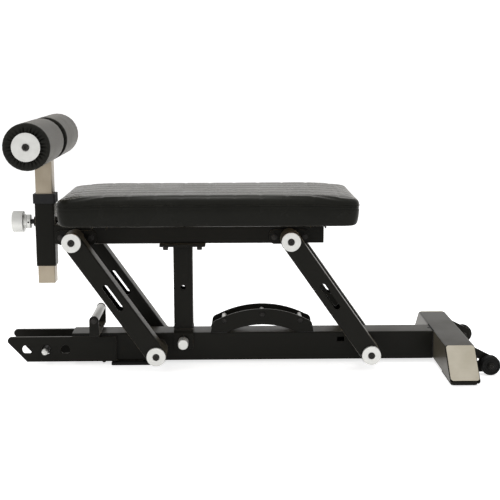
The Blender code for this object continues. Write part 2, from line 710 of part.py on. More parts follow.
def wheel_bracket(name, side):
    """A plate on the crossbar's back with the wheel's bolt in its round end."""
    radius = WHEEL_RADIUS - WHEEL_BRACKET_INSET
    back = CROSSBAR_FRONT + RAIL_SIDE + GAP
    top = RAIL_BOTTOM + WHEEL_BRACKET_TOP
    centre = (WHEEL_X, WHEEL_HEIGHT)
    outline = [(back, WHEEL_HEIGHT - radius), (back, top), (back + WHEEL_BRACKET_EDGE, top)]
    outline += arc(centre, radius, WHEEL_BRACKET_SLOPE, -90, 12)
    outer = -WHEEL_THICKNESS / 2 - RUN
    inner = outer - WHEEL_BRACKET_THICKNESS
    bracket = prism(name, outline, "Y", wheel_side(side, inner), wheel_side(side, outer), black_paint())
    hole = (back + WHEEL_HOLE_REACH, WHEEL_HEIGHT + WHEEL_HOLE_RISE)
    beyond = wheel_side(side, inner * 2)
    drill(bracket, "Y", hole, WHEEL_BRACKET_HOLE, beyond, wheel_side(side, 0), SMALL_SIDES)
    start = inner + WHEEL_BRACKET_THICKNESS / 6
    head = WHEEL_THICKNESS / 2 + RUN
    crown = head + WHEEL_BOLT_HEIGHT
    profile = [(start, 0), (start, WHEEL_AXLE_RADIUS), (head, WHEEL_AXLE_RADIUS), (head, WHEEL_BOLT_RADIUS)]
    profile += [(crown - EDGE / 2, WHEEL_BOLT_RADIUS), (crown, WHEEL_BOLT_RADIUS - EDGE), (crown, 0)]
    placed = [(wheel_side(side, along), radius) for along, radius in profile]
    join(bracket, turned(name + "_bolt", placed, "Y", centre, black_paint(), SMALL_SIDES))
    return bracket


def wheel(name, side):
    """A hard wheel with a crowned tread and a recessed hub."""
    half = WHEEL_THICKNESS / 2
    face = half - WHEEL_DISH
    rim = WHEEL_RADIUS - WHEEL_RIM
    running = bore(WHEEL_AXLE_RADIUS, sides=SIDES)
    hub = WHEEL_HUB_RADIUS
    right = [(half, running), (half, hub), (face, hub + WHEEL_DISH / 2), (face, rim)]
    right += [(half, rim + WHEEL_DISH / 2), (half, WHEEL_RADIUS - EDGE), (half - EDGE, WHEEL_RADIUS)]
    profile = [(wheel_side(side, a), r) for a, r in right]
    profile += [(wheel_side(side, -a), r) for a, r in right[::-1]]
    return turned(name, profile, "Y", (WHEEL_X, WHEEL_HEIGHT), black_rubber())


def link(name, side):
    """A square tube with a bored hub at each end and a slot through both faces, in its pair's own frame."""
    centre = (0, side * LINK_Y)
    tube = prism(name, rounded(LINK_SIDE, LINK_SIDE, TUBE_CORNER, centre), "Z", 0, LINK_LENGTH, black_paint())
    for z in (0, LINK_LENGTH):
        hub = circle(LINK_SIDE / 2 + HUB_PROUD, (0, z))
        join(tube, prism(name + "_hub", hub, "Y", side * HUB_INNER, side * HUB_OUTER, black_paint()))
    hollow = rounded(LINK_SIDE - 2 * TUBE_WALL, LINK_SIDE - 2 * TUBE_WALL, TUBE_CORNER - TUBE_WALL, centre)
    clear = LINK_SIDE / 2 + 2 * TUBE_WALL
    cut(tube, prism(name + "_hollow", hollow, "Z", clear, LINK_LENGTH - clear, black_paint()))
    slot = rounded(LINK_SLOT_WIDTH, LINK_SLOT_LENGTH, LINK_SLOT_WIDTH * 0.499, (0, LINK_SLOT_RISE), 6)
    cut(tube, prism(name + "_slot", slot, "Y", 0, side * 2 * LINK_Y, black_paint()))
    for z in (0, LINK_LENGTH):
        drill(tube, "Y", (0, z), bore(AXLE_RADIUS), 0, side * 2 * LINK_Y)
    return tube


def link_axle(name, z):
    """The axle of a pivot: a flanged end on the far side, a socket bolt in the near one."""
    head = DISC_OUTER + GAP
    seat = head - BOLT_HEAD_HEIGHT
    profile = [(-head, 0), (-head, BOLT_HEAD_RADIUS - DISC_CHAMFER), (-head + DISC_CHAMFER, BOLT_HEAD_RADIUS)]
    profile += [(-seat, BOLT_HEAD_RADIUS), (-seat, BOLT_RADIUS), (-HUB_OUTER, BOLT_RADIUS)]
    profile += [(-HUB_OUTER, AXLE_RADIUS), (DISC_INNER, AXLE_RADIUS), (DISC_INNER, DISC_RADIUS)]
    profile += [(DISC_OUTER - DISC_CHAMFER, DISC_RADIUS), (DISC_OUTER, DISC_RADIUS - DISC_CHAMFER)]
    profile += [(DISC_OUTER, 0)]
    return turned(name, profile, "Y", (0, z), bright_steel())


def link_disc(name, z):
    """The disc on an axle's near end, counterbored for the bolt's head."""
    floor = DISC_OUTER - BOLT_HEAD_HEIGHT
    hole = bore(BOLT_RADIUS)
    counterbore = BOLT_HEAD_RADIUS + BOLT_HEAD_ROOM
    profile = [(-DISC_OUTER, counterbore), (-DISC_OUTER, DISC_RADIUS - DISC_CHAMFER)]
    profile += [(-DISC_OUTER + DISC_CHAMFER, DISC_RADIUS), (-DISC_INNER, DISC_RADIUS), (-DISC_INNER, hole)]
    profile += [(-floor, hole), (-floor, counterbore)]
    return turned(name, profile, "Y", (0, z), bright_steel())


def link_pair(which, carrier):
    """Two links with their axles and near discs, all in the leaning frame of their body."""
    pieces = [link(which + "_link_near", -1), link(which + "_link_far", 1)]
    for level, z in (("lower", 0), ("upper", LINK_LENGTH)):
        pieces.append(link_axle(f"{which}_{level}_axle", z))
        pieces.append(link_disc(f"{which}_{level}_disc", z))
    hang(carrier, *pieces)


def seat_frame():
    """The flat tube under the pad, bored for the upper axles."""
    front = SLEEVE_X + SLEEVE_SIDE / 2 + GAP
    back = UPPER_XS[1] + FRAME_BACK_REACH
    centre = (0, FRAME_BOTTOM + FRAME_HEIGHT / 2)
    frame = square_tube("seat_frame", FRAME_WIDTH, FRAME_HEIGHT, "X", centre, front, back, black_paint())
    for x in UPPER_XS:
        drill(frame, "Y", (x, UPPER_Z), bore(AXLE_RADIUS), -FRAME_WIDTH, FRAME_WIDTH)
    return frame


def pivot_block(name, side, x):
    """A plate bolted to the frame's side with a boss that the upper axle turns in."""
    inner = FRAME_WIDTH / 2 + GAP
    outer = inner + BLOCK_THICKNESS
    plate = rounded(BLOCK_LENGTH, BLOCK_HEIGHT, BLOCK_CORNER, (x, UPPER_Z))
    block = prism(name, plate, "Y", side * inner, side * outer, black_paint())
    boss = circle(BLOCK_BOSS_RADIUS, (x, UPPER_Z))
    middle = (inner + outer) / 2
    join(block, prism(name + "_boss", boss, "Y", side * middle, side * (HUB_INNER - GAP), black_paint()))
    drill(block, "Y", (x, UPPER_Z), bore(AXLE_RADIUS), 0, side * 2 * HUB_INNER)
    return block


def centre_post():
    """The square post from the saddle up to its flange, with one cross hole."""
    low = SADDLE_TOP + GAP
    high = FLANGE_BOTTOM - GAP
    post = square_tube("centre_post", POST_SIDE, POST_SIDE, "Z", (POST_X, 0), low, high, black_paint())
    drill(post, "Y", (POST_X, low + POST_HOLE_RISE), POST_HOLE_RADIUS, -POST_SIDE, POST_SIDE, SMALL_SIDES)
    return post


def post_flange():
    outline = rounded(FLANGE_LENGTH, FLANGE_WIDTH, TUBE_CORNER, (POST_X, 0))
    return prism("post_flange", outline, "Z", FLANGE_BOTTOM, FLANGE_BOTTOM + FLANGE_THICKNESS, black_paint())


def saddle():
    """The plate that rests on the rail, a cheek down each side, the lock pin's hole in the near one."""
    low = RAIL_TOP - SADDLE_DROP
    ceiling = RAIL_TOP + GAP
    step = ceiling + SADDLE_THICKNESS / 2
    plate = RAIL_SIDE / 2
    half = [(SADDLE_INNER, ceiling), (SADDLE_INNER, low), (SADDLE_OUTER, low)]
    half += [(SADDLE_OUTER, step - SADDLE_BEVEL), (SADDLE_OUTER - SADDLE_BEVEL, step)]
    half += [(plate, step), (plate, SADDLE_TOP)]
    outline = half + [(-y, z) for y, z in half[::-1]]
    made = prism("saddle", outline, "X", POST_X - POST_SIDE / 2, POST_X + POST_SIDE / 2, black_paint())
    drill(made, "Y", (POST_X, LOCK_Z), bore(SADDLE_PIN_RADIUS, PIN_FIT), -2 * SADDLE_OUTER, 0)
    return made


def upright_sleeve():
    """The tube at the frame's front end that the roller post slides in."""
    low = UPPER_Z - SLEEVE_DROP
    centre = (SLEEVE_X, 0)
    side = SLEEVE_SIDE
    sleeve = square_tube("upright_sleeve", side, side, "Z", centre, low, SLEEVE_TOP, black_paint())
    radius = bore(POST_PIN_RADIUS, PIN_FIT)
    drill(sleeve, "X", (0, POST_PIN_Z), radius, SLEEVE_FRONT - SLEEVE_SIDE, SLEEVE_X)
    return sleeve


def sleeve_collar():
    """The square collar over the sleeve's top, with a lip that guides the post."""
    top = SLEEVE_TOP + GAP + COLLAR_LIP
    way = UPRIGHT_SIDE + 2 * GAP
    centre = (SLEEVE_X, 0)
    outer = chamfered(COLLAR_SIDE, COLLAR_SIDE, COLLAR_CHAMFER, centre)
    inner = chamfered(way, way, COLLAR_CHAMFER / 3, centre)
    collar = prism("sleeve_collar", outer, "Z", top - COLLAR_HEIGHT, top, black_rubber(), hole=inner)
    room = SLEEVE_SIDE + 2 * GAP
    recess = chamfered(room, room, COLLAR_CHAMFER / 3, centre)
    low = top - 2 * COLLAR_HEIGHT
    cut(collar, prism("sleeve_collar_recess", recess, "Z", low, SLEEVE_TOP + GAP, black_rubber()))
    return collar


def pin_housing(name, profile, axis, centre, sign):
    """A turned housing whose profile is measured outwards from the wall that it stands on."""
    return turned(name, [(sign * a, r) for a, r in profile], axis, centre, bright_steel(), SMALL_SIDES)


def coil(name, nose, start, end, place):
    """A compression spring between two faces of a pull pin, from a helix of one curve."""
    radius = nose - SPRING_WIRE - GAP
    span = abs(end - start) - 2 * (SPRING_WIRE + GAP)
    turns = span / SPRING_PITCH
    count = round(turns * SPRING_POINTS) + 1
    direction = math.copysign(1, end - start)
    curve = bpy.data.curves.new(name, "CURVE")
    curve.dimensions = "3D"
    curve.bevel_depth = SPRING_WIRE
    curve.bevel_resolution = 0
    curve.use_fill_caps = True
    curve.materials.append(bright_steel())
    spline = curve.splines.new("POLY")
    spline.points.add(count - 1)
    for k, point in enumerate(spline.points):
        share = k / (count - 1)
        turn = 2 * math.pi * turns * share
        along = start + direction * (SPRING_WIRE + GAP + span * share)
        point.co = (*place(along, radius * math.cos(turn), radius * math.sin(turn)), 1)
    made = bpy.data.objects.new(name, curve)
    bpy.context.collection.objects.link(made)
    return made


def post_pin_pieces():
    """The housing, plunger with knob, and spring of the pin that locks the roller post, along X."""
    wall = SLEEVE_FRONT
    axis = (0, POST_PIN_Z)
    bore_radius = bore(POST_PIN_RADIUS, PIN_FIT, SMALL_SIDES)
    stem = POST_PIN_RADIUS * STEM_SHARE
    stem_hole = bore(stem, PIN_FIT, SMALL_SIDES)
    boss = GAP + BOSS_LENGTH
    neck = boss + NECK_LENGTH
    profile = [(GAP, bore_radius), (GAP, BOSS_RADIUS), (boss, BOSS_RADIUS), (boss, NECK_RADIUS)]
    profile += [(neck, NECK_RADIUS), (neck, stem_hole), (neck - LIP, stem_hole), (neck - LIP, bore_radius)]
    placed = [(a - wall, r) for a, r in profile]
    housing = pin_housing("front_pin_housing", placed, "X", axis, -1)
    tip = -TUBE_WALL + PIN_STAND
    shoulder_at = boss + POST_PIN_SHOULDER
    room = bore(NECK_RADIUS, 2 * PIN_FIT)
    barrel = BARREL_STAND + BARREL_LENGTH
    floor = neck + PIN_FLOOR
    end = barrel + KNOB_LENGTH
    plunger = [(tip, 0), (tip, POST_PIN_RADIUS - PIN_TIP), (tip + PIN_TIP, POST_PIN_RADIUS)]
    plunger += [(shoulder_at, POST_PIN_RADIUS), (shoulder_at, stem), (floor, stem), (floor, room)]
    plunger += [(BARREL_STAND, room), (BARREL_STAND, BARREL_RADIUS - EDGE / 2)]
    plunger += [(BARREL_STAND + EDGE / 2, BARREL_RADIUS), (barrel, BARREL_RADIUS)]
    plunger += [(barrel, KNOB_RADIUS - EDGE), (barrel + EDGE, KNOB_RADIUS)]
    plunger += [(end - KNOB_EDGE, KNOB_RADIUS), (end, KNOB_RADIUS - KNOB_EDGE), (end, 0)]
    pin = turned("front_pull_pin", [(wall - a, r) for a, r in plunger], "X", axis, bright_steel())
    spring = coil(
        "front_pin_spring", POST_PIN_RADIUS, wall - shoulder_at, wall - neck + LIP,
        lambda along, a, b: (along, a, POST_PIN_Z + b),
    )
    return housing, pin, spring


def saddle_pin_pieces():
    """The housing, plunger with knob, and spring of the pin that locks the seat to the rail, along Y."""
    wall = SADDLE_OUTER
    axis = (POST_X, LOCK_Z)
    bore_radius = bore(SADDLE_PIN_RADIUS, PIN_FIT, SMALL_SIDES)
    stem = SADDLE_PIN_RADIUS * STEM_SHARE
    stem_hole = bore(stem, PIN_FIT, SMALL_SIDES)
    end = GAP + SADDLE_HOUSING_LENGTH
    profile = [(GAP, bore_radius), (GAP, SADDLE_HOUSING_RADIUS), (end, SADDLE_HOUSING_RADIUS)]
    profile += [(end, stem_hole), (end - LIP, stem_hole), (end - LIP, bore_radius)]
    placed = [(a + wall, r) for a, r in profile]
    housing = pin_housing("saddle_pin_housing", placed, "Y", axis, -1)
    tip = RAIL_SIDE / 2 + PIN_STAND + GAP - wall
    shoulder_at = SADDLE_PIN_SHOULDER
    floor = end + PIN_FLOOR
    room = bore(SADDLE_HOUSING_RADIUS, 2 * PIN_FIT)
    face = SADDLE_KNOB_STAND + SADDLE_KNOB_LENGTH
    plunger = [(tip, 0), (tip, SADDLE_PIN_RADIUS - PIN_TIP), (tip + PIN_TIP, SADDLE_PIN_RADIUS)]
    plunger += [(shoulder_at, SADDLE_PIN_RADIUS), (shoulder_at, stem), (floor, stem), (floor, room)]
    plunger += [(SADDLE_KNOB_STAND, room), (SADDLE_KNOB_STAND, SADDLE_KNOB_RADIUS)]
    plunger += [(face - EDGE, SADDLE_KNOB_RADIUS), (face, SADDLE_KNOB_RADIUS - EDGE), (face, 0)]
    pin = turned("saddle_pull_pin", [(-wall - a, r) for a, r in plunger], "Y", axis, bright_steel())
    spring = coil(
        "saddle_pin_spring", SADDLE_PIN_RADIUS, -wall - shoulder_at, -wall - end + LIP,
        lambda along, a, b: (POST_X + a, along, LOCK_Z + b),
    )
    return housing, pin, spring


def upright_tube():
    """The sliding post: closed below, a row of lock holes in front, the roller axle's hole at its top."""
    low = ROLLER_Z - UPRIGHT_DROP
    high = ROLLER_Z + UPRIGHT_TOP
    corner = TUBE_CORNER * 0.6
    outline = rounded(UPRIGHT_SIDE, UPRIGHT_SIDE, corner, (SLEEVE_X, 0))
    tube = prism("upright_tube", outline, "Z", low, high, bare_steel())
    inside = UPRIGHT_SIDE - 2 * TUBE_WALL
    hollow = chamfered(inside, inside, corner / 3, (SLEEVE_X, 0))
    cut(tube, prism("upright_tube_hollow", hollow, "Z", low + TUBE_WALL, high + UPRIGHT_TOP, bare_steel()))
    drill(tube, "Y", (SLEEVE_X, ROLLER_Z), bore(AXLE_RADIUS), -UPRIGHT_SIDE, UPRIGHT_SIDE)
    radius = bore(POST_PIN_RADIUS, 2 * PIN_FIT, SMALL_SIDES)
    for number in range(-POST_HOLES_BELOW, POST_HOLES_ABOVE + 1):
        height = POST_PIN_Z + number * POST_HOLE_PITCH
        drill(tube, "X", (0, height), radius, SLEEVE_X - UPRIGHT_SIDE, SLEEVE_X, SMALL_SIDES)
    return tube


def roller_axle():
    """The axle across the post's top, with the far end disc on it and a bolt in its near end."""
    disc = ROLLER_OUTER + GAP
    face = disc + ROLLER_DISC_THICKNESS
    head = face + GAP
    crown = head + BOLT_HEAD_HEIGHT
    rim = ROLLER_BOLT_RADIUS - DISC_CHAMFER
    profile = [(-crown, 0), (-crown, rim), (-crown + DISC_CHAMFER, ROLLER_BOLT_RADIUS)]
    profile += [(-head, ROLLER_BOLT_RADIUS), (-head, BOLT_RADIUS), (-ROLLER_OUTER, BOLT_RADIUS)]
    profile += [(-ROLLER_OUTER, AXLE_RADIUS), (disc, AXLE_RADIUS), (disc, ROLLER_DISC_RADIUS)]
    profile += [(face, ROLLER_DISC_RADIUS), (face, ROLLER_BOLT_RADIUS)]
    profile += [(crown, ROLLER_BOLT_RADIUS), (crown, 0)]
    return turned("roller_axle", profile, "Y", (SLEEVE_X, ROLLER_Z), bright_steel())


def roller_end_disc():
    """The plain disc that keeps the near roller on the axle."""
    inner = ROLLER_OUTER + GAP
    centre = (SLEEVE_X, ROLLER_Z)
    outer = circle(ROLLER_DISC_RADIUS, centre)
    hole = circle(bore(BOLT_RADIUS), centre)
    face = inner + ROLLER_DISC_THICKNESS
    return prism("roller_end_disc", outer, "Y", -face, -inner, bright_steel(), hole=hole)


def roller(name, side):
    """A foam roller with round shoulders, drawn in to its end disc."""
    middle = (ROLLER_INNER + ROLLER_OUTER) / 2
    half = ROLLER_LENGTH / 2
    running = bore(AXLE_RADIUS, 2 * GAP)
    lip = ROLLER_DISC_RADIUS + ROLLER_LIP
    flat = ROLLER_RADIUS - ROLLER_SHOULDER
    round_end = arc((half - ROLLER_SHOULDER, flat), ROLLER_SHOULDER - ROLLER_LIP, 20, 90, ROLLER_STEPS)
    end = [(half - RUN, running), (half - RUN, lip - 2 * ROLLER_LIP), (half - 3 * RUN, lip)]
    end += [(a, r + ROLLER_LIP * k / ROLLER_STEPS) for k, (a, r) in enumerate(round_end)]
    profile = [(side * (middle + a), r) for a, r in end]
    profile += [(side * (middle - a), r) for a, r in end[::-1]]
    return turned(name, profile, "Y", (SLEEVE_X, ROLLER_Z), black_vinyl())


def pad_bracket(name, x):
    """A shallow channel across the frame that the pad is bolted to."""
    low = FRAME_TOP + GAP
    top = low + PAD_BRACKET_HEIGHT
    half = PAD_BRACKET_WIDTH / 2
    wall = TUBE_WALL
    outline = [(x - half, low), (x - half, top), (x + half, top), (x + half, low), (x + half - wall, low)]
    outline += [(x + half - wall, top - wall), (x - half + wall, top - wall), (x - half + wall, low)]
    return prism(name, outline, "Y", -PAD_BRACKET_LENGTH / 2, PAD_BRACKET_LENGTH / 2, black_paint())


def pad_board():
    """The board inside the pad's underside."""
    inset = 2 * (BOARD_INSET + PAD_TAPER)
    outline = rounded(PAD_LENGTH - inset, PAD_WIDTH - inset, PAD_CORNER * 0.6, (PAD_X, 0), 6)
    return prism("pad_board", outline, "Z", PAD_BOTTOM, PAD_BOTTOM + BOARD_THICKNESS, plywood())


def pad_ring(inset, drawn):
    """The pad's plan at an inset from its widest line, its sides pulled in between the corners."""
    half_x = PAD_LENGTH / 2 - inset
    half_y = PAD_WIDTH / 2 - inset
    radius = max(PAD_CORNER - inset, TUBE_CORNER)
    points = []
    for k, (sign_x, sign_y) in enumerate(((1, 1), (-1, 1), (-1, -1), (1, -1))):
        corner = (sign_x * (half_x - radius), sign_y * (half_y - radius))
        points += arc(corner, radius, 90 * k, 90 * k + 90, PAD_CORNER_STEPS)
        next_signs = ((-1, 1), (-1, -1), (1, -1), (1, 1))[k]
        start = points[-1]
        along_x = k % 2 == 0
        end = (next_signs[0] * (half_x - radius), next_signs[1] * (half_y - radius))
        for step in range(1, PAD_SIDE_STEPS):
            t = step / PAD_SIDE_STEPS
            pull = drawn * math.sin(math.pi * t)
            if along_x:
                points.append((start[0] + (end[0] - start[0]) * t, start[1] - math.copysign(pull, start[1])))
            else:
                points.append((start[0] - math.copysign(pull, start[0]), start[1] + (end[1] - start[1]) * t))
    return [(PAD_X + x, y) for x, y in points]


def pad_cushion():
    """The foam block in its cover: crowned top, round shoulder, tapered sides, and a recess for the board."""
    top = PAD_BOTTOM + PAD_HEIGHT
    recess = BOARD_INSET + PAD_TAPER - 2 * GAP
    ceiling = PAD_BOTTOM + BOARD_THICKNESS + GAP
    levels = [(recess, ceiling, 0), (recess, PAD_BOTTOM, 0), (PAD_TAPER + PAD_HEM, PAD_BOTTOM, 0)]
    levels += [(PAD_TAPER, PAD_BOTTOM + PAD_HEM, PAD_DRAW)]
    levels += [(PAD_TAPER / 2, PAD_BOTTOM + 4 * PAD_HEM, PAD_DRAW)]
    shoulder_centre = top - PAD_CROWN - PAD_SHOULDER
    levels += [(0, shoulder_centre, PAD_DRAW)]
    for a, b in arc((0, 0), PAD_SHOULDER, 20, 90, 4):
        levels.append((PAD_SHOULDER - a, shoulder_centre + b, PAD_DRAW))
    for share in PAD_CROWN_STEPS:
        inset = PAD_SHOULDER + share * PAD_CROWN_REACH
        levels.append((inset, top - PAD_CROWN * (1 - share) ** 2, 0))
    builder = bmesh.new()
    rings = []
    for inset, z, drawn in levels:
        rings.append([builder.verts.new((x, y, z)) for x, y in pad_ring(inset, drawn)])
    count = len(rings[0])
    for first, second in zip(rings, rings[1:]):
        for k in range(count):
            after = (k + 1) % count
            builder.faces.new((first[k], first[after], second[after], second[k]))
    builder.faces.new(rings[0])
    builder.faces.new(rings[-1])
    return to_object(builder, "pad_cushion", black_vinyl())


def build_base():
    carrier = body("base", 0, 0, 0)
    pieces = [base_rail(), rear_crossbar(), front_foot(), handle_bracket(), handle_grip()]
    for side, place in ((-1, "near"), (1, "far")):
        pieces += [end_plate("end_plate_" + place, side), crossbar_foot("crossbar_foot_" + place, side)]
        pieces += [dock_cheek("dock_cheek_" + place, side), arc_plate("arc_plate_" + place, side)]
        pieces += [wheel_bracket("wheel_bracket_" + place, side)]
    for x, place in zip(PIVOT_XS, ("front", "rear")):
        pieces.append(base_pivot_tube("base_pivot_tube_" + place, x))
    for number, place in enumerate(("front", "middle", "rear")):
        pieces.append(arc_spacer("arc_spacer_" + place, number))
    carry(carrier, *pieces)
    for side, place in ((-1, "near"), (1, "far")):
        axle = body("wheel_axis_" + place, WHEEL_X, side * WHEEL_OFFSET, WHEEL_HEIGHT, carrier)
        carry(axle, wheel("wheel_" + place, side))
    x, z = dock_hole(1)
    carry(body("dock_pin_axis", x, 0, z, carrier), dock_pin())
    return carrier


def build_links(base):
    for which, x in zip(("front", "rear"), PIVOT_XS):
        carrier = body(which + "_links", x, 0, PIVOT_Z, base, lean=-LINK_LEAN)
        link_pair(which, carrier)


def build_seat(base):
    seat = body("seat", UPPER_XS[0], 0, UPPER_Z, base)
    post_housing, post_pin, post_spring = post_pin_pieces()
    saddle_housing, saddle_pin, saddle_spring = saddle_pin_pieces()
    pieces = [seat_frame(), centre_post(), post_flange(), saddle(), upright_sleeve(), sleeve_collar()]
    pieces += [post_housing, post_spring, saddle_housing, saddle_spring, pad_board(), pad_cushion()]
    for side, place in ((-1, "near"), (1, "far")):
        for x, end in zip(UPPER_XS, ("front", "rear")):
            pieces.append(pivot_block(f"pivot_block_{end}_{place}", side, x))
    pieces.append(pad_bracket("pad_bracket_front", PAD_FRONT + PAD_BRACKET_INSET))
    pieces.append(pad_bracket("pad_bracket_rear", PAD_FRONT + PAD_LENGTH - PAD_BRACKET_INSET))
    carry(seat, *pieces)
    carry(body("front_pin_axis", SLEEVE_FRONT, 0, POST_PIN_Z, seat), post_pin)
    carry(body("saddle_pin_axis", POST_X, -SADDLE_OUTER, LOCK_Z, seat), saddle_pin)
    return seat


def build_roller_post(seat):
    post = body("roller_post", SLEEVE_X, 0, ROLLER_Z, seat)
    carry(post, upright_tube(), roller_axle(), roller_end_disc())
    for side, place in ((-1, "near"), (1, "far")):
        middle = side * (ROLLER_INNER + ROLLER_LENGTH / 2)
        axle = body("roller_axis_" + place, SLEEVE_X, middle, ROLLER_Z, post)
        carry(axle, roller("roller_" + place, side))


def main():
    clear_scene()
    base = build_base()
    build_links(base)
    build_roller_post(build_seat(base))


main()
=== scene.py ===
"""The looks of a low utility bench: finishes, fasteners, welds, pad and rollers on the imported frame."""

import math
import random

import bmesh
import bpy
import numpy as np
from mathutils import Matrix, Vector


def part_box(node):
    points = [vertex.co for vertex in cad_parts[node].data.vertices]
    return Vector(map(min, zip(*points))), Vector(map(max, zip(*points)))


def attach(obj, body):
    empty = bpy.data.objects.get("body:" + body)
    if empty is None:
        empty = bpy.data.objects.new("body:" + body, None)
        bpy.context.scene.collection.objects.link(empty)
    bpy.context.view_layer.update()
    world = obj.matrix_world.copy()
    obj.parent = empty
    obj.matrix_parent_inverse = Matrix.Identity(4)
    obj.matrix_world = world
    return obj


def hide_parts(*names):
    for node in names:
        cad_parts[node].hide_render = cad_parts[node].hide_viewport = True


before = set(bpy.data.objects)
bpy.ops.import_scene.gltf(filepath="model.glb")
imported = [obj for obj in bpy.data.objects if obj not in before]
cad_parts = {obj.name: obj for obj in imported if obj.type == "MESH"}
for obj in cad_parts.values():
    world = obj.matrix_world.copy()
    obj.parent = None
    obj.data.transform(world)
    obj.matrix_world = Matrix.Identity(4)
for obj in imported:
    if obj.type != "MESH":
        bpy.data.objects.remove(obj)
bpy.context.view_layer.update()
random.seed(7)

MM = 0.001
SIDES = (("near", -1), ("far", 1))
FACING = {-1: "-Y", 1: "+Y"}  # the direction outward on each side

# Facets of round pieces
ROUND = 96
FINE = 48
KNURLED = 240
SMALL_KNURLED = 192

# Shape of the finished meshes
SHARP_ANGLE = math.radians(48)  # sharper edges are shaded as edges
EDGE_ANGLE = math.radians(30)  # sharper edges of a CAD node are rounded
FLAT_ANGLE = math.radians(0.6)  # flatter ones are dissolved
MERGE_DISTANCE = 0.00001
CORNER_STEPS = 3

# Weld beads: the length of a ripple, and radii from the rail's welds down to the thin plates'
BEAD_PITCH = 2.4 * MM
BEAD_SIDES = 8
HEAVY_BEAD = 2.2 * MM
PLATE_BEAD = 2.0 * MM
TUBE_BEAD = 1.8 * MM
LIGHT_BEAD = 1.5 * MM
ARC_WELD = 44 * MM  # length of the welds at an arc plate's ends
SLEEVE_WELD = 25 * MM  # half the length of the welds behind the sleeve
TUBE_WELD = 25.6 * MM  # radius of the weld round a pivot tube

# Screws: radius and height of the head. Bolts: half the width across flats, and height with the washer
ARC_SCREW = (6.6 * MM, 3.4 * MM)
STRAP_SCREW = (6.5 * MM, 3.6 * MM)
WHEEL_SCREW = (8.3 * MM, 4.2 * MM)
PIVOT_SCREW = (8.4 * MM, 5.2 * MM)
ROLLER_SCREW = (8.4 * MM, 6.3 * MM)
KNOB_SCREW = (2.4 * MM, 0.6 * MM)
HANDLE_BOLT = (6.2 * MM, 5.5 * MM)
WHEEL_NUT = (6.5 * MM, 5.5 * MM)
BLOCK_BOLT = (6.6 * MM, 5.6 * MM)
FLANGE_BOLT = (6.8 * MM, 9.5 * MM)
SLEEVE_BOLT = (6.2 * MM, 6 * MM)
PAD_BOLT = (5.6 * MM, 5 * MM)

# Where they stand, out from the middle of their block, flange, bench or grip
BLOCK_BOLT_X = 39 * MM
FLANGE_BOLT_X, FLANGE_BOLT_Y = 44.5 * MM, 34 * MM
PAD_BOLT_Y = 95 * MM
STRAP_SCREW_Y = 26 * MM
STRAP_END_X, STRAP_END_Y = 18 * MM, 32 * MM
BLOCK_FACE = 6.9 * MM  # a pivot block's outer face beyond the rail's side


def low(node):
    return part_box(node)[0]


def high(node):
    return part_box(node)[1]


def centre(node):
    return (low(node) + high(node)) / 2


RAIL_LOW, RAIL_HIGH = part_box("base_rail")
RAIL_TOP = RAIL_HIGH.z
RAIL_SIDE = RAIL_HIGH.y
FRAME_LOW, FRAME_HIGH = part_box("seat_frame")
POST = centre("centre_post")
SLEEVE = centre("upright_sleeve")
ROLLER = centre("roller_axle")
PAD_LOW, PAD_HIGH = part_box("pad_cushion")
PAD_MIDDLE = (PAD_LOW + PAD_HIGH) / 2
PAD_HALF = (PAD_HIGH - PAD_LOW) / 2


# Materials

SHEEN_TINT = (1.0, 0.86, 0.62, 1)
SHEEN_ROUGHNESS = 0.3


def fill(node, values):
    """Sets a node's inputs by name."""
    for name, value in values.items():
        node.inputs[name].default_value = value


def coordinates(tree, stretch=(1, 1, 1)):
    """The place on the piece, in metres, stretched by a scale on each axis."""
    source = tree.nodes.new("ShaderNodeTexCoord")
    mapping = tree.nodes.new("ShaderNodeMapping")
    fill(mapping, {"Scale": stretch})
    tree.links.new(source.outputs["Object"], mapping.inputs["Vector"])
    return mapping.outputs["Vector"]


def noise(tree, scale, detail, roughness=0.5, stretch=(1, 1, 1)):
    node = tree.nodes.new("ShaderNodeTexNoise")
    fill(node, {"Scale": scale, "Detail": detail, "Roughness": roughness})
    tree.links.new(coordinates(tree, stretch), node.inputs["Vector"])
    return node.outputs["Fac"]


def spread(tree, value, low_value, high_value, start=0.35, end=0.65):
    """Maps the middle of a noise to a range of values."""
    node = tree.nodes.new("ShaderNodeMapRange")
    fill(node, {"From Min": start, "From Max": end, "To Min": low_value, "To Max": high_value})
    tree.links.new(value, node.inputs["Value"])
    return node.outputs["Result"]


def blend_colours(tree, value, dark, pale, *limits):
    """Maps a noise to a range of colours."""
    node = tree.nodes.new("ShaderNodeMix")
    node.data_type = "RGBA"
    fill(node, {"A": (*dark, 1), "B": (*pale, 1)})
    tree.links.new(spread(tree, value, 0, 1, *limits), node.inputs["Factor"])
    return node.outputs["Result"]


def bump(tree, height, distance, strength, under=None):
    node = tree.nodes.new("ShaderNodeBump")
    fill(node, {"Strength": strength, "Distance": distance})
    tree.links.new(height, node.inputs["Height"])
    if under:
        tree.links.new(under, node.inputs["Normal"])
    return node.outputs["Normal"]


def surface(name, metallic=0.0, specular=0.5, sheen=0.0):
    """A new material's node tree and its shader."""
    material = bpy.data.materials.new(name)
    material.use_nodes = True
    shader = material.node_tree.nodes["Principled BSDF"]
    fill(shader, {"Metallic": metallic, "Specular IOR Level": specular, "Sheen Weight": sheen})
    fill(shader, {"Sheen Tint": SHEEN_TINT, "Sheen Roughness": SHEEN_ROUGHNESS})
    return material, material.node_tree, shader


def dress(tree, shader, colour, roughness, normal):
    tree.links.new(colour, shader.inputs["Base Color"])
    tree.links.new(roughness, shader.inputs["Roughness"])
    tree.links.new(normal, shader.inputs["Normal"])


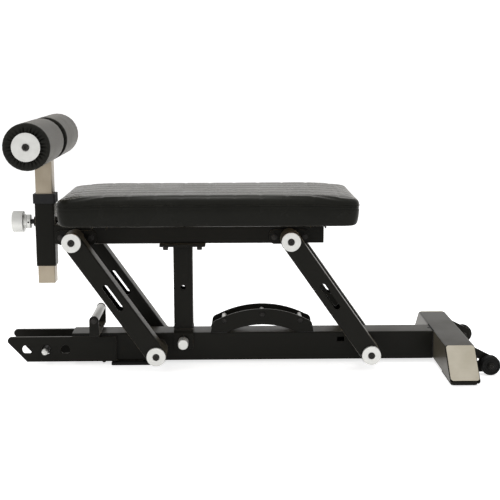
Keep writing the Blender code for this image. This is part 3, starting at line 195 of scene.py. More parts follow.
def make_grained(name, dark, pale, gloss, cloud, relief, grain=None, **base):
    """One noise drives the colour and the roughness, and it or a second one drives the relief."""
    material, tree, shader = surface(name, **base)
    tone = noise(tree, *cloud)
    height = noise(tree, *grain) if grain else tone
    colour = blend_colours(tree, tone, dark, pale)
    dress(tree, shader, colour, spread(tree, tone, *gloss), bump(tree, height, *relief))
    return material


def make_black_paint():
    """Satin powder coat: a fine orange peel, cloudy gloss and a little dust."""
    material, tree, shader = surface("black_powder_coat", specular=0.07, sheen=0.2)
    cloud = noise(tree, 9.0, 4.0)
    dust = noise(tree, 2600.0, 2.0)
    peel = noise(tree, 700.0, 2.0)
    dark, pale = (0.0140, 0.0136, 0.0112), (0.0205, 0.0199, 0.0166)
    colour = blend_colours(tree, dust, dark, pale, 0.55, 0.75)
    normal = bump(tree, cloud, 0.0006, 0.12, bump(tree, peel, 0.00006, 0.3))
    dress(tree, shader, colour, spread(tree, cloud, 0.30, 0.38), normal)
    return material


def make_brushed(name, dark, pale, along):
    """Bare brushed steel with a warm tint, brushed along one axis."""
    material, tree, shader = surface(name, metallic=1.0)
    lines = noise(tree, 1.0, 3.0, stretch=[14.0 if axis == along else 1100.0 for axis in "XYZ"])
    cloud = noise(tree, 16.0, 4.0)
    scuff = noise(tree, 1.0, 2.0, stretch=(90, 90, 700))
    normal = bump(tree, scuff, 0.00004, 0.3, bump(tree, lines, 0.00005, 0.6))
    colour = blend_colours(tree, cloud, dark, pale)
    dress(tree, shader, colour, spread(tree, lines, 0.30, 0.44), normal)
    return material


def make_vinyl(name, dark, pale, gloss, specular, grain):
    """Coated fabric with a leather grain of small cells and soft creases."""
    material, tree, shader = surface(name, specular=specular, sheen=0.15)
    cells = tree.nodes.new("ShaderNodeTexVoronoi")
    cells.feature = "DISTANCE_TO_EDGE"
    fill(cells, {"Scale": 1100.0})
    tree.links.new(coordinates(tree), cells.inputs["Vector"])
    cloud = noise(tree, 14.0, 4.0)
    crease = noise(tree, 160.0, 4.0)
    pebble = spread(tree, cells.outputs["Distance"], 0, 1, 0.0, 0.12)
    normal = bump(tree, crease, 0.0002, grain * 0.5, bump(tree, pebble, 0.00008, grain * 0.6))
    roughness = spread(tree, cloud, gloss - 0.02, gloss + 0.03)
    dress(tree, shader, blend_colours(tree, cloud, dark, pale), roughness, normal)
    return material


BLACK = make_black_paint()
SILVER = make_grained(  # satin zinc plate with fine turning marks
    "satin_silver", (0.60, 0.598, 0.574), (0.66, 0.658, 0.634), gloss=(0.46, 0.56),
    cloud=(60.0, 4.0), relief=(0.00004, 0.5), grain=(1.0, 2.0, 0.5, (300, 3000, 300)), metallic=1.0,
)
STEEL = make_brushed("warm_brushed_steel", (0.27, 0.229, 0.172), (0.34, 0.294, 0.226), "Z")
PLATE_STEEL = make_brushed("pale_brushed_steel", (0.45, 0.412, 0.33), (0.52, 0.48, 0.395), "X")
DARK_STEEL = make_grained(
    "black_oxide_steel", (0.020, 0.019, 0.018), (0.042, 0.040, 0.037), gloss=(0.32, 0.50),
    cloud=(240.0, 3.0), relief=(0.00006, 0.4), metallic=0.5, specular=0.12,
)
RUBBER = make_grained(
    "black_rubber", (0.0095, 0.0095, 0.009), (0.018, 0.018, 0.017), gloss=(0.62, 0.8),
    cloud=(30.0, 4.0), relief=(0.00012, 0.5), grain=(1500.0, 3.0), specular=0.14,
)
PLASTIC = make_grained(
    "black_moulded_plastic", (0.014, 0.014, 0.0145), (0.022, 0.022, 0.0225), gloss=(0.48, 0.6),
    cloud=(25.0, 3.0), relief=(0.0001, 0.6), grain=(1900.0, 2.0), specular=0.2,
)
VINYL = make_vinyl(
    "black_vinyl", (0.0125, 0.0125, 0.0102), (0.0155, 0.0155, 0.0128),
    gloss=0.26, specular=0.065, grain=0.02,
)
ROLLER_VINYL = make_vinyl(
    "roller_vinyl", (0.0130, 0.0129, 0.0106), (0.0180, 0.0179, 0.0150),
    gloss=0.38, specular=0.085, grain=0.5,
)
WELD = make_grained(
    "painted_weld", (0.011, 0.011, 0.0105), (0.021, 0.021, 0.020), gloss=(0.34, 0.46),
    cloud=(420.0, 3.0), relief=(0.0002, 0.4), specular=0.2,
)
PLYWOOD = make_grained(
    "plywood_board", (0.36, 0.23, 0.12), (0.56, 0.40, 0.23), gloss=(0.6, 0.75),
    cloud=(1.0, 5.0, 0.6, (9, 160, 160)), relief=(0.0002, 0.4), specular=0.3,
)
SPRING = make_grained(
    "spring_steel", (0.42, 0.41, 0.40), (0.60, 0.59, 0.57), gloss=(0.25, 0.4),
    cloud=(500.0, 3.0), relief=(0.00005, 0.3), metallic=1.0,
)


# Mesh helpers

def on_axis(axis, along, point):
    """Where a section's point lies: (y, z) square to X, (x, z) square to Y, (x, y) square to Z."""
    a, b = point
    return {"X": (along, a, b), "Y": (a, along, b), "Z": (a, b, along)}[axis]


def new_piece(name, builder):
    bmesh.ops.recalc_face_normals(builder, faces=builder.faces)
    mesh = bpy.data.meshes.new(name)
    builder.to_mesh(mesh)
    builder.free()
    piece = bpy.data.objects.new(name, mesh)
    bpy.context.collection.objects.link(piece)
    return piece


def settle(name, builder, material, body, node=None, keep_flat=True):
    """Turns a bmesh into a piece that rides on a body and, if one is named, replaces a node."""
    piece = new_piece(name, builder)
    piece.data.shade_smooth()
    piece.data.set_sharp_from_angle(angle=SHARP_ANGLE)
    piece.data.materials.append(material)
    if keep_flat:
        weighted = piece.modifiers.new("flat_faces", "WEIGHTED_NORMAL")
        weighted.keep_sharp = True
    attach(piece, body)
    if node:
        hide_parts(node)
    return piece


def bridge(builder, first, second):
    """Faces between two rings of points. A ring of one point is a pole."""
    count = max(len(first), len(second))
    for k in range(count):
        after = (k + 1) % count
        corners = [first[k % len(first)], first[after % len(first)]]
        corners += [second[after % len(second)], second[k % len(second)]]
        builder.faces.new(list(dict.fromkeys(corners)))


def skin_over(rings, closed=False):
    """A bmesh over rings of points. Open ends get a face, and a closed one runs back to its start."""
    builder = bmesh.new()
    made = [[builder.verts.new(p) for p in ring_points] for ring_points in rings]
    for first, second in zip(made, made[1:]):
        bridge(builder, first, second)
    if closed:
        bridge(builder, made[-1], made[0])
    else:
        for end in (made[0], made[-1]):
            if len(end) > 2:
                builder.faces.new(end)
    return builder


def loft(name, rings, material, body, node=None, closed=False, keep_flat=True):
    return settle(name, skin_over(rings, closed), material, body, node, keep_flat)


def soften(points, radius):
    """A profile with its corners rounded. Its first and last points stay."""
    rounded = [points[0]]
    for before, corner, after in zip(points, points[1:], points[2:]):
        arms = []
        for other in (before, after):
            length = math.dist(corner, other)
            share = min(radius, length * 0.49) / length if length else 0
            arms.append([corner[i] + (other[i] - corner[i]) * share for i in (0, 1)])
        for k in range(CORNER_STEPS + 1):
            t = k / CORNER_STEPS
            blend = (((1 - t) ** 2, arms[0]), (2 * t * (1 - t), corner), (t * t, arms[1]))
            rounded.append(tuple(sum(weight * p[i] for weight, p in blend) for i in (0, 1)))
    rounded.append(points[-1])
    return rounded


def angles(count):
    return [2 * math.pi * k / count for k in range(count)]


def ring(radius, middle, sides):
    """A ring's points. The radius may be a function of the angle."""
    if radius == 0:
        return [tuple(middle)]
    shape = radius if callable(radius) else (lambda turn: radius)
    a, b = middle
    return [(a + shape(t) * math.cos(t), b + shape(t) * math.sin(t)) for t in angles(sides)]


def rounded_ring(axis, at, middle, half_a, half_b, radius, steps=5):
    """A rectangle's outline with round corners, square to an axis."""
    radius = min(radius, half_a, half_b)
    points = []
    for k, (sign_a, sign_b) in enumerate(((1, 1), (-1, 1), (-1, -1), (1, -1))):
        for step in range(steps + 1):
            turn = math.pi / 2 * (k + step / steps)
            a = middle[0] + sign_a * (half_a - radius) + radius * math.cos(turn)
            b = middle[1] + sign_b * (half_b - radius) + radius * math.sin(turn)
            points.append(on_axis(axis, at, (a, b)))
    return points


def trace(start, pairs, sign=1, edge=0.0):
    """Part of a profile: (along, radius) in millimetres from a start and, if given, from an edge."""
    return [(start + sign * a * MM, edge + r * MM) for a, r in pairs]


def turned(profile, axis, middle, sides):
    """A ring round an axis for each (along, radius) of a profile."""
    return [[on_axis(axis, a, p) for p in ring(r, middle, sides)] for a, r in profile]


def lathe(node, profile, axis, middle, material, body, round_off, sides=ROUND, closed=False):
    """Replaces a node with a profile turned about an axis, its corners rounded."""
    if closed:
        points = soften([profile[-1], *profile, profile[0]], round_off)[1:-1]
    else:
        points = soften(profile, round_off)
    rings = turned(points, axis, middle, sides)
    loft(node + "_finished", rings, material, body, node, closed)


def hexagon(flat):
    """A hexagon's radius by angle, for one whose sides lie at a distance from its middle."""
    sixth = math.pi / 3
    return lambda turn: flat / math.cos((turn + sixth / 2) % sixth - sixth / 2)


def knurl(start, end, rows, radius, count, depth):
    """The rows of a ridged grip: each has the ridges as its radius."""

    def ridged(turn):
        return radius - depth * (0.5 - 0.5 * math.cos(count * turn))

    return [(a, ridged) for a in np.linspace(start, end, rows)]


def stack(name, place, direction, profile, material, body):
    """A small turned piece that stands on a place and points along an axis such as -Y."""
    axis = direction[1]
    sign = 1 if direction[0] == "+" else -1
    middle = [c for c, letter in zip(place, "XYZ") if letter != axis]
    start = place["XYZ".index(axis)]
    rings = turned([(start + sign * height, r) for height, r in profile], axis, middle, FINE)
    loft(name, rings, material, body)


def socket_screw(name, place, direction, radius, height, body, domed=True):
    """A button or cap head with a hexagonal socket."""
    socket = hexagon(radius * 0.42)
    floor = height - height * 0.55
    profile = [(0, radius * 0.97), (height * 0.06, radius)]
    if domed:
        profile += [(height * 0.25, radius), (height * 0.6, radius * 0.93), (height * 0.88, radius * 0.74)]
    else:
        profile += [(height * 0.86, radius), (height * 0.96, radius * 0.97), (height, radius * 0.9)]
    profile += [(height, radius * 0.58), (height * 0.99, socket), (floor, socket), (floor, 0)]
    stack(name, place, direction, profile, DARK_STEEL, body)


def hex_bolt(name, place, direction, flat, height, body):
    """A washer and a hexagonal head with a chamfered crown."""
    head = hexagon(flat)
    washer = height * 0.22
    profile = [(0, flat * 1.32), (washer * 0.8, flat * 1.34), (washer, flat * 1.28), (washer, flat * 1.02)]
    profile += [(washer * 1.05, head), (height * 0.86, head)]
    profile += [(height * 0.95, lambda t: min(head(t), flat * 1.06)), (height, flat * 0.92), (height, 0)]
    stack(name, place, direction, profile, DARK_STEEL, body)


def plug(name, axis, end, middle, halves, steps, body):
    """A plug in a tube's end. Its steps are (along, growth, corner radius) in millimetres."""
    rings = []
    for along, grow, corner in steps:
        half_a, half_b = (half + grow * MM for half in halves)
        rings.append(rounded_ring(axis, end + along * MM, middle, half_a, half_b, corner * MM))
    loft(name, rings, PLASTIC, body)


def refine(node, material, body, width):
    """Replaces a node with its own shape, its flat faces merged and its edges rounded."""
    builder = bmesh.new()
    builder.from_mesh(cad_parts[node].data)
    bmesh.ops.remove_doubles(builder, verts=builder.verts, dist=MERGE_DISTANCE)
    bmesh.ops.dissolve_limit(builder, angle_limit=FLAT_ANGLE, verts=builder.verts, edges=builder.edges)
    edges = [e for e in builder.edges if e.is_manifold and e.calc_face_angle(0) > EDGE_ANGLE]
    bmesh.ops.bevel(
        builder, geom=edges, offset=width, segments=2, profile=0.5, affect="EDGES", clamp_overlap=True
    )
    settle(node + "_finished", builder, material, body, node)


def weld(name, points, radius, body):
    """A weld bead: overlapping ripples along a line of points."""
    path = [Vector(p) for p in points]
    rings = []
    travelled = 0.0
    for start, end in zip(path, path[1:]):
        length = (end - start).length
        forward = (end - start).normalized()
        side = forward.cross(Vector((0.31, 0.52, 0.79))).normalized()
        up = forward.cross(side)
        count = max(2, int(length / (BEAD_PITCH / 4)))
        for k in range(count):
            at = start + (end - start) * (k / count)
            phase = 2 * math.pi * (travelled + length * k / count) / BEAD_PITCH
            size = radius * (0.86 + 0.14 * math.sin(phase)) * (1 + random.uniform(-0.05, 0.05))
            turns = [(size * math.cos(t), size * math.sin(t)) for t in angles(BEAD_SIDES)]
            rings.append([at + side * a + up * b for a, b in turns])
        travelled += length
    tip = path[0] - (path[1] - path[0]).normalized() * radius * 0.6
    loft(name, [[tip], *rings, [path[-1]]], WELD, body)


# The base

def finish_rail():
    """The rail and the crossbar, with the welds between them and a vent plug."""
    for node in ("base_rail", "rear_crossbar"):
        refine(node, BLACK, "base", 0.9 * MM)
    x = RAIL_HIGH.x
    side = RAIL_SIDE + 0.24 * MM
    corner = 5 * MM
    for place, sign in SIDES:
        line = [(x, sign * side, z) for z in (RAIL_LOW.z + corner, RAIL_TOP - corner)]
        weld(f"weld_crossbar_{place}", line, HEAVY_BEAD, "base")
    line = [(x, sign * (side - corner), RAIL_TOP) for _, sign in SIDES]
    weld("weld_crossbar_top", line, HEAVY_BEAD, "base")
    profile = trace(0, [(0, 4.6), (0.7, 4.4), (1.1, 3.4), (1.1, 0)])
    stack("vent_plug", (x - 5 * MM, 0, RAIL_TOP), "+Z", profile, PLASTIC, "base")


def finish_feet():
    for node in ("front_foot", "crossbar_foot_near", "crossbar_foot_far"):
        refine(node, RUBBER, "base", 1.0 * MM)
    for node in ("end_plate_near", "end_plate_far"):
        refine(node, PLATE_STEEL, "base", 0.5 * MM)


def finish_dock():
    """The cheeks at the front of the rail, with the welds along their edges."""
    for place, side in SIDES:
        node = "dock_cheek_" + place
        refine(node, BLACK, "base", 0.9 * MM)
        first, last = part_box(node)
        face = side * (RAIL_SIDE + 1.0 * MM)
        top = [(x, face, last.z) for x in (RAIL_LOW.x + 3 * MM, last.x)]
        weld(f"weld_cheek_top_{place}", top, PLATE_BEAD, "base")
        back = [(last.x, face, z) for z in (first.z + 2 * MM, last.z)]
        weld(f"weld_cheek_back_{place}", back, PLATE_BEAD, "base")


def finish_dock_pin():
    """The pin across the dock: a bright ball nose, then a rod and a knurled knob in dark steel; the rod's
    dark is painted shade, for the shade inside the cheek's hole.
    """
    first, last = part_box("dock_pin")
    x, _, z = centre("dock_pin")
    ball = 8.75 * MM
    nose = first.y + ball
    turns = [math.radians(180 - 150 * k / 14) for k in range(15)]
    profile = [(nose + ball * math.cos(t), ball * math.sin(t)) for t in turns]
    profile[0] = (profile[0][0], 0)
    neck = profile[-1][0]
    profile += trace(neck, [(0.3, 4.96), (5, 4.96), (6.2, 8)])
    cheek = high("dock_cheek_far").y
    profile += trace(cheek, [(-9, 8), (-8.6, 12.6), (0.3, 12.6), (0.4, 17.5), (1.0, 18)])
    profile += trace(cheek, [(5.4, 18), (6, 17.4), (6, 9.4), (14, 9.0)])
    knob = cheek + 15.5 * MM
    profile += trace(knob, [(0, 13.6), (1, 15)])
    profile += knurl(knob + 1.6 * MM, last.y - 2.2 * MM, 8, 15 * MM, 16, 0.7 * MM)
    profile += trace(last.y, [(1.6, 15), (0.4, 14), (0, 12.6), (0, 0)], -1)
    rings = turned(profile, "Y", (x, z), ROUND)
    pin = loft("dock_pin_finished", rings, SILVER, "dock_pin", "dock_pin")
    # Painted shade: everything beyond the ball's neck takes the dark steel, standing for the shade inside
    # the cheek's hole round the rod.
    pin.data.materials.append(DARK_STEEL)
    for polygon in pin.data.polygons:
        if polygon.center.y > neck:
            polygon.material_index = 1


def finish_arc():
    """The two plates on the rail, and the three spacers that are bolted between them."""
    for place, side in SIDES:
        node = "arc_plate_" + place
        refine(node, BLACK, "base", 0.6 * MM)
        first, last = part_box(node)
        face = side * (max(abs(first.y), abs(last.y)) + 0.3 * MM)
        for end, start, run in (("front", first.x, ARC_WELD), ("rear", last.x, -ARC_WELD)):
            line = [(x, face, RAIL_TOP) for x in (start, start + run)]
            weld(f"weld_arc_{place}_{end}", line, LIGHT_BEAD, "base")
    plate = high("arc_plate_far").y + 0.3 * MM
    profile = trace(-plate, [(0, 0), (0, 4), (5.6, 4), (5.6, 6.35)])
    profile += trace(plate, [(5.6, 6.35), (5.6, 4), (0, 4), (0, 0)], -1)
    for which in ("front", "middle", "rear"):
        node = "arc_spacer_" + which
        x, _, z = centre(node)
        lathe(node, profile, "Y", (x, z), SILVER, "base", 0.3 * MM, FINE)
        for place, side in SIDES:
            at = (x, side * plate, z)
            socket_screw(f"arc_screw_{which}_{place}", at, FACING[side], *ARC_SCREW, "base")


def finish_handle():
    """The lifting handle: bracket, grip tube, its bolts, and the strap's screws and ends."""
    refine("handle_bracket", BLACK, "base", 0.8 * MM)
    foot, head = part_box("handle_bracket")
    x, _, z = centre("handle_grip")
    half = high("handle_grip").y
    profile = trace(-half, [(0, 8), (0, 11)]) + trace(half, [(0, 11), (0, 8)])
    lathe("handle_grip", profile, "Y", (x, z), SILVER, "base", 0.5 * MM, closed=True)
    strap_end = trace(0, [(0, 5), (2.4, 4.9), (4.0, 3.8), (4.8, 2), (4.9, 0)])
    for place, side in SIDES:
        ear = (x, side * head.y, z)
        hex_bolt(f"handle_bolt_{place}", ear, FACING[side], *HANDLE_BOLT, "base")
        strap = (x, side * STRAP_SCREW_Y, foot.z + 5 * MM)
        socket_screw(f"handle_strap_screw_{place}", strap, "+Z", *STRAP_SCREW, "base")
        under = (x + STRAP_END_X, side * STRAP_END_Y, RAIL_LOW.z)
        stack(f"handle_strap_end_{place}", under, "-Z", strap_end, DARK_STEEL, "base")


def finish_wheels():
    """Brackets, bolts and wheels with a grooved tread and a dished hub."""
    for place, side in SIDES:
        bracket, wheel = "wheel_bracket_" + place, "wheel_" + place
        refine(bracket, BLACK, "base", 0.5 * MM)
        first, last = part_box(wheel)
        x, middle, z = centre(wheel)
        half = (last.y - first.y) / 2
        rim = (last.z - first.z) / 2
        hub = trace(half, [(0, 5.6), (0, 9.6), (1.4, 10.6), (2.2, 12.5)], -1)
        tread = [(2.2, -7), (0.4, -5.6), (0, -4.6), (0, -2.4), (2.2, -0.3), (5, 0)]
        right = hub + trace(half, tread, -1, rim)
        right += trace(0, [(2.2, 0), (1.6, -0.9), (0.8, -0.9), (0.4, 0)], 1, rim)
        profile = [(middle + a, r) for a, r in right] + [(middle - a, r) for a, r in right[::-1]]
        lathe(wheel, profile, "Y", (x, z), RUBBER, wheel, 0.3 * MM, closed=True)
        outer = (x, side * (max(abs(first.y), abs(last.y)) + 0.5 * MM), z)
        socket_screw(f"wheel_screw_{place}", outer, FACING[side], *WHEEL_SCREW, "base")
        foot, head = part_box(bracket)
        plate = min(abs(foot.y), abs(head.y))
        hex_bolt(f"wheel_nut_{place}", (x, side * plate, z), FACING[-side], *WHEEL_NUT, "base")
        for end, y in (("in", side * plate), ("out", side * (plate + 6 * MM))):
            line = [(foot.x, y, z) for z in (foot.z + 4 * MM, head.z - 1 * MM)]
            weld(f"weld_wheel_bracket_{place}_{end}", line, LIGHT_BEAD, "base")


def finish_pivot_tubes():
    """The tubes through the rail, each with a weld round it on both sides."""
    turns = [2 * math.pi * k / 40 for k in range(41)]
    for which in ("front", "rear"):
        node = "base_pivot_tube_" + which
        refine(node, BLACK, "base", 0.5 * MM)
        x, _, z = centre(node)
        for place, side in SIDES:
            y = side * (RAIL_SIDE + 0.6 * MM)
            line = [(x + TUBE_WELD * math.cos(t), y, z + TUBE_WELD * math.sin(t)) for t in turns]
            weld(f"weld_pivot_tube_{which}_{place}", line, TUBE_BEAD, "base")


# The links

def finish_links():
    for which in ("front", "rear"):
        body = which + "_links"
        for place, _ in SIDES:
            refine(f"{which}_link_{place}", BLACK, body, 0.8 * MM)
        for level in ("lower", "upper"):
            finish_pivot(which, level, body)


def finish_pivot(which, level, body):
    """An axle with its two flanged discs, each with a sunk socket screw."""
    disc = f"{which}_{level}_disc"
    x, _, z = centre(disc)
    disc_low, disc_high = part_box(disc)
    outer, inner = -disc_low.y, -disc_high.y
    floor = outer - 5 * MM  # where the screws are sunk to
    hub = inner - 0.3 * MM
    rim = disc_high.z - z
    bore, core, shaft, chamfer = 9.3 * MM, 6 * MM, 12.7 * MM, 0.9 * MM
    profile = [(-floor, 0), (-floor, core), (-hub, core), (-hub, shaft), (inner, shaft), (inner, rim)]
    profile += [(outer - chamfer, rim), (outer, rim - chamfer), (outer, bore), (floor, bore), (floor, 0)]
    lathe(f"{which}_{level}_axle", profile, "Y", (x, z), SILVER, body, 0.35 * MM)
    hole = core + 0.4 * MM
    profile = [(-outer, bore), (-outer, rim - chamfer), (-outer + chamfer, rim), (-inner, rim)]
    profile += [(-inner, hole), (-floor, hole), (-floor, bore)]
    lathe(disc, profile, "Y", (x, z), SILVER, body, 0.35 * MM, closed=True)
    for place, side in SIDES:
        name, at = f"{which}_{level}_screw_{place}", (x, side * floor, z)
        socket_screw(name, at, FACING[side], *PIVOT_SCREW, body, domed=False)


# The seat

def finish_seat_frame():
    """The frame's tube with a plug in its rear end, and the pivot blocks with their bolts."""
    refine("seat_frame", BLACK, "seat", 0.9 * MM)
    wall = 3.2 * MM
    half = (FRAME_HIGH.z - FRAME_LOW.z) / 2
    middle = (0, (FRAME_LOW.z + FRAME_HIGH.z) / 2)
    steps = [(-14, -1.2, 2.2), (-2, 0, 2.2), (-0.4, 0, 2.2), (0.4, -1, 2.2), (0.4, -5, 2), (-1.2, -6.4, 2)]
    plug("seat_frame_plug", "X", FRAME_HIGH.x, middle, (FRAME_HIGH.y - wall, half - wall), steps, "seat")
    for which in ("front", "rear"):
        for place, side in SIDES:
            node = f"pivot_block_{which}_{place}"
            refine(node, BLACK, "seat", 0.8 * MM)
            x, _, z = centre(node)
            for end, offset in (("a", -BLOCK_BOLT_X), ("b", BLOCK_BOLT_X)):
                at = (x + offset, side * (RAIL_SIDE + BLOCK_FACE), z)
                hex_bolt(f"block_bolt_{which}_{place}_{end}", at, FACING[side], *BLOCK_BOLT, "seat")


def finish_post():
    """The centre post, its flange with bolts under it, and the saddle on the rail."""
    for node, width in (("centre_post", 0.8), ("post_flange", 0.7), ("saddle", 0.8)):
        refine(node, BLACK, "seat", width * MM)
    flange = low("post_flange").z
    for end, sign in (("front", -1), ("rear", 1)):
        for place, side in SIDES:
            at = (POST.x + sign * FLANGE_BOLT_X, side * FLANGE_BOLT_Y, flange)
            hex_bolt(f"flange_bolt_{end}_{place}", at, "-Z", *FLANGE_BOLT, "seat")
    half = POST.x - low("centre_post").x
    ends = (-half + 4 * MM, half - 4 * MM)
    for level, z in (("top", high("centre_post").z), ("bottom", low("centre_post").z)):
        for place, end, side in (("near", "front", -1), ("far", "rear", 1)):
            line = [(POST.x + x, side * half, z) for x in ends]
            weld(f"weld_post_{level}_{place}", line, TUBE_BEAD, "seat")
            line = [(POST.x + side * half, y, z) for y in ends]
            weld(f"weld_post_{level}_{end}", line, TUBE_BEAD, "seat")


def finish_sleeve():
    """The roller post's sleeve, its collar and the small bolt in its side."""
    refine("upright_sleeve", BLACK, "seat", 0.9 * MM)
    refine("sleeve_collar", PLASTIC, "seat", 1.1 * MM)
    x = high("upright_sleeve").x
    for name, z in (("top", FRAME_HIGH.z), ("bottom", FRAME_LOW.z)):
        line = [(x, y, z) for y in (-SLEEVE_WELD, SLEEVE_WELD)]
        weld(f"weld_sleeve_{name}", line, HEAVY_BEAD, "seat")
    hex_bolt("sleeve_side_bolt", (x, 0, FRAME_HIGH.z + 10 * MM), "+X", *SLEEVE_BOLT, "seat")


def finish_pad_supports():
    for which in ("front", "rear"):
        node = "pad_bracket_" + which
        refine(node, BLACK, "seat", 0.6 * MM)
        for place, side in SIDES:
            at = (centre(node).x, side * PAD_BOLT_Y, high(node).z - 3 * MM)
            hex_bolt(f"pad_bolt_{which}_{place}", at, "-Z", *PAD_BOLT, "seat")
    refine("pad_board", PLYWOOD, "seat", 0.5 * MM)


def finish_front_pin():
    """The pull pin that locks the roller post: its housing, and its plunger with the large knob."""
    _, *middle = centre("front_pull_pin")
    wall = low("upright_sleeve").x
    housing = [(0.3, 4.9), (0.3, 12.9), (1.1, 13.5), (4.3, 13.5), (5.9, 12.2), (6.0, 6.5)]
    housing += [(42.0, 6.5), (42.7, 5.9), (42.7, 2.7), (38.7, 2.7), (38.7, 4.9)]
    profile = trace(wall, housing, -1)
    lathe("front_pin_housing", profile, "X", middle, DARK_STEEL, "seat", 0.25 * MM, FINE, closed=True)
    end, tip = low("front_pull_pin").x, high("front_pull_pin").x
    barrel = wall - 13.5 * MM
    knob = end + 30 * MM
    profile = trace(tip, [(0, 0), (0, 3.6), (0.9, 4.5)], -1)
    profile += trace(wall, [(14.2, 4.5), (14.2, 2.3), (51, 2.3), (51, 7.0)], -1)
    profile += trace(barrel, [(0, 7.0), (0, 17.6), (1, 18.5), (9.2, 18.5), (9.6, 17.9)], -1)
    profile += trace(barrel, [(10.6, 17.9), (11, 18.5)], -1) + trace(knob, [(0, 18.5), (0, 26.6)])
    profile = soften(profile, 0.3 * MM) + trace(knob, [(-1.2, 27.8)])
    profile += knurl(knob - 1.8 * MM, end + 3.0 * MM, 12, 28 * MM, 80, 0.35 * MM)
    profile += trace(end, [(2.2, 27.8), (1.0, 27.1), (0.3, 25.9), (0, 24.4), (0, 20), (0.5, 19.2), (0.5, 0)])
    rings = turned(profile, "X", middle, KNURLED)
    loft("front_knob_finished", rings, SILVER, "front_pin", "front_pull_pin")
    at = (barrel - 5 * MM, -18.3 * MM, middle[1])
    socket_screw("front_knob_set_screw", at, "-Y", *KNOB_SCREW, "front_pin", domed=False)


def finish_saddle_pin():
    """The pull pin that locks the seat to the rail."""
    x, _, z = centre("saddle_pull_pin")
    wall = low("saddle").y
    housing = [(0.3, 6.4), (0.3, 10.0), (26.4, 10.0), (27.0, 9.4), (27.0, 3.4), (23.0, 3.4), (23.0, 6.4)]
    profile = trace(wall, housing, -1)
    lathe("saddle_pin_housing", profile, "Y", (x, z), SILVER, "seat", 0.25 * MM, FINE, closed=True)
    end, tip = low("saddle_pull_pin").y, high("saddle_pull_pin").y
    knob = wall - 7.5 * MM
    grip = high("saddle_pull_pin").z - z
    profile = trace(tip, [(0, 0), (0, 5), (1, 6)], -1)
    profile += trace(wall, [(5, 6), (5, 3), (36, 3), (36, 10.5)], -1)
    profile += [(knob, 10.5 * MM), (knob, grip - 0.8 * MM)]
    profile = soften(profile, 0.3 * MM) + [(knob - 0.8 * MM, grip - 0.1 * MM)]
    profile += knurl(knob - 1.4 * MM, end + 3.4 * MM, 10, grip, 48, 0.3 * MM)
    face = [(2.6, 0.99), (1.2, 0.96), (0.3, 0.89), (0, 0.81), (0, 0.62), (0.3, 0.59), (0.3, 0)]
    profile += [(end + a * MM, r * grip) for a, r in face]
    rings = turned(profile, "Y", (x, z), SMALL_KNURLED)
    loft("saddle_knob_finished", rings, SILVER, "saddle_pin", "saddle_pull_pin")


def finish_springs():
    for node in ("front_pin_spring", "saddle_pin_spring"):
        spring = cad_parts[node]
        spring.data.materials.clear()
        spring.data.materials.append(SPRING)


# The roller post

def finish_roller_post():
    """The upright tube with its cap, and the rollers' axle with its discs and screws."""
    refine("upright_tube", STEEL, "roller_post", 0.7 * MM)
    top = high("upright_tube").z
    inside = 18.9 * MM
    steps = [(-12, -1, 3), (-1, 0, 3), (-1, 2.4, 3), (0.6, 2.6, 3), (1.6, 1.4, 3)]
    plug("upright_cap", "Z", top, (SLEEVE.x, 0), (inside, inside), steps, "roller_post")
    x, _, z = ROLLER
    outer = high("roller_far").y
    profile = trace(-outer, [(-3.5, 0), (-3.5, 6), (0, 6), (0, 12.7)])
    profile += trace(outer, [(0.3, 12.7), (0.3, 34.75), (2.6, 34.75), (3.3, 34.05)])
    profile += trace(outer, [(3.3, 9.4), (1.8, 9.0), (1.8, 0)])
    lathe("roller_axle", profile, "Y", (x, z), SILVER, "roller_post", 0.3 * MM)
    disc = [(3.3, 9.4), (3.3, 34.05), (2.6, 34.75), (0.3, 34.75), (0.3, 6.4), (1.8, 6.4), (1.8, 9.0)]
    profile = trace(-outer, disc, -1)
    lathe("roller_end_disc", profile, "Y", (x, z), SILVER, "roller_post", 0.3 * MM, closed=True)
    for place, side in SIDES:
        at = (x, side * (outer + 1.8 * MM), z)
        socket_screw(f"roller_screw_{place}", at, FACING[side], *ROLLER_SCREW, "roller_post")


ROLLER_SIDES = 240
PLEATS = 30
ROLLER_CORNER = 7 * MM
HEM = 30 * MM  # radius at which the gathers go under the disc


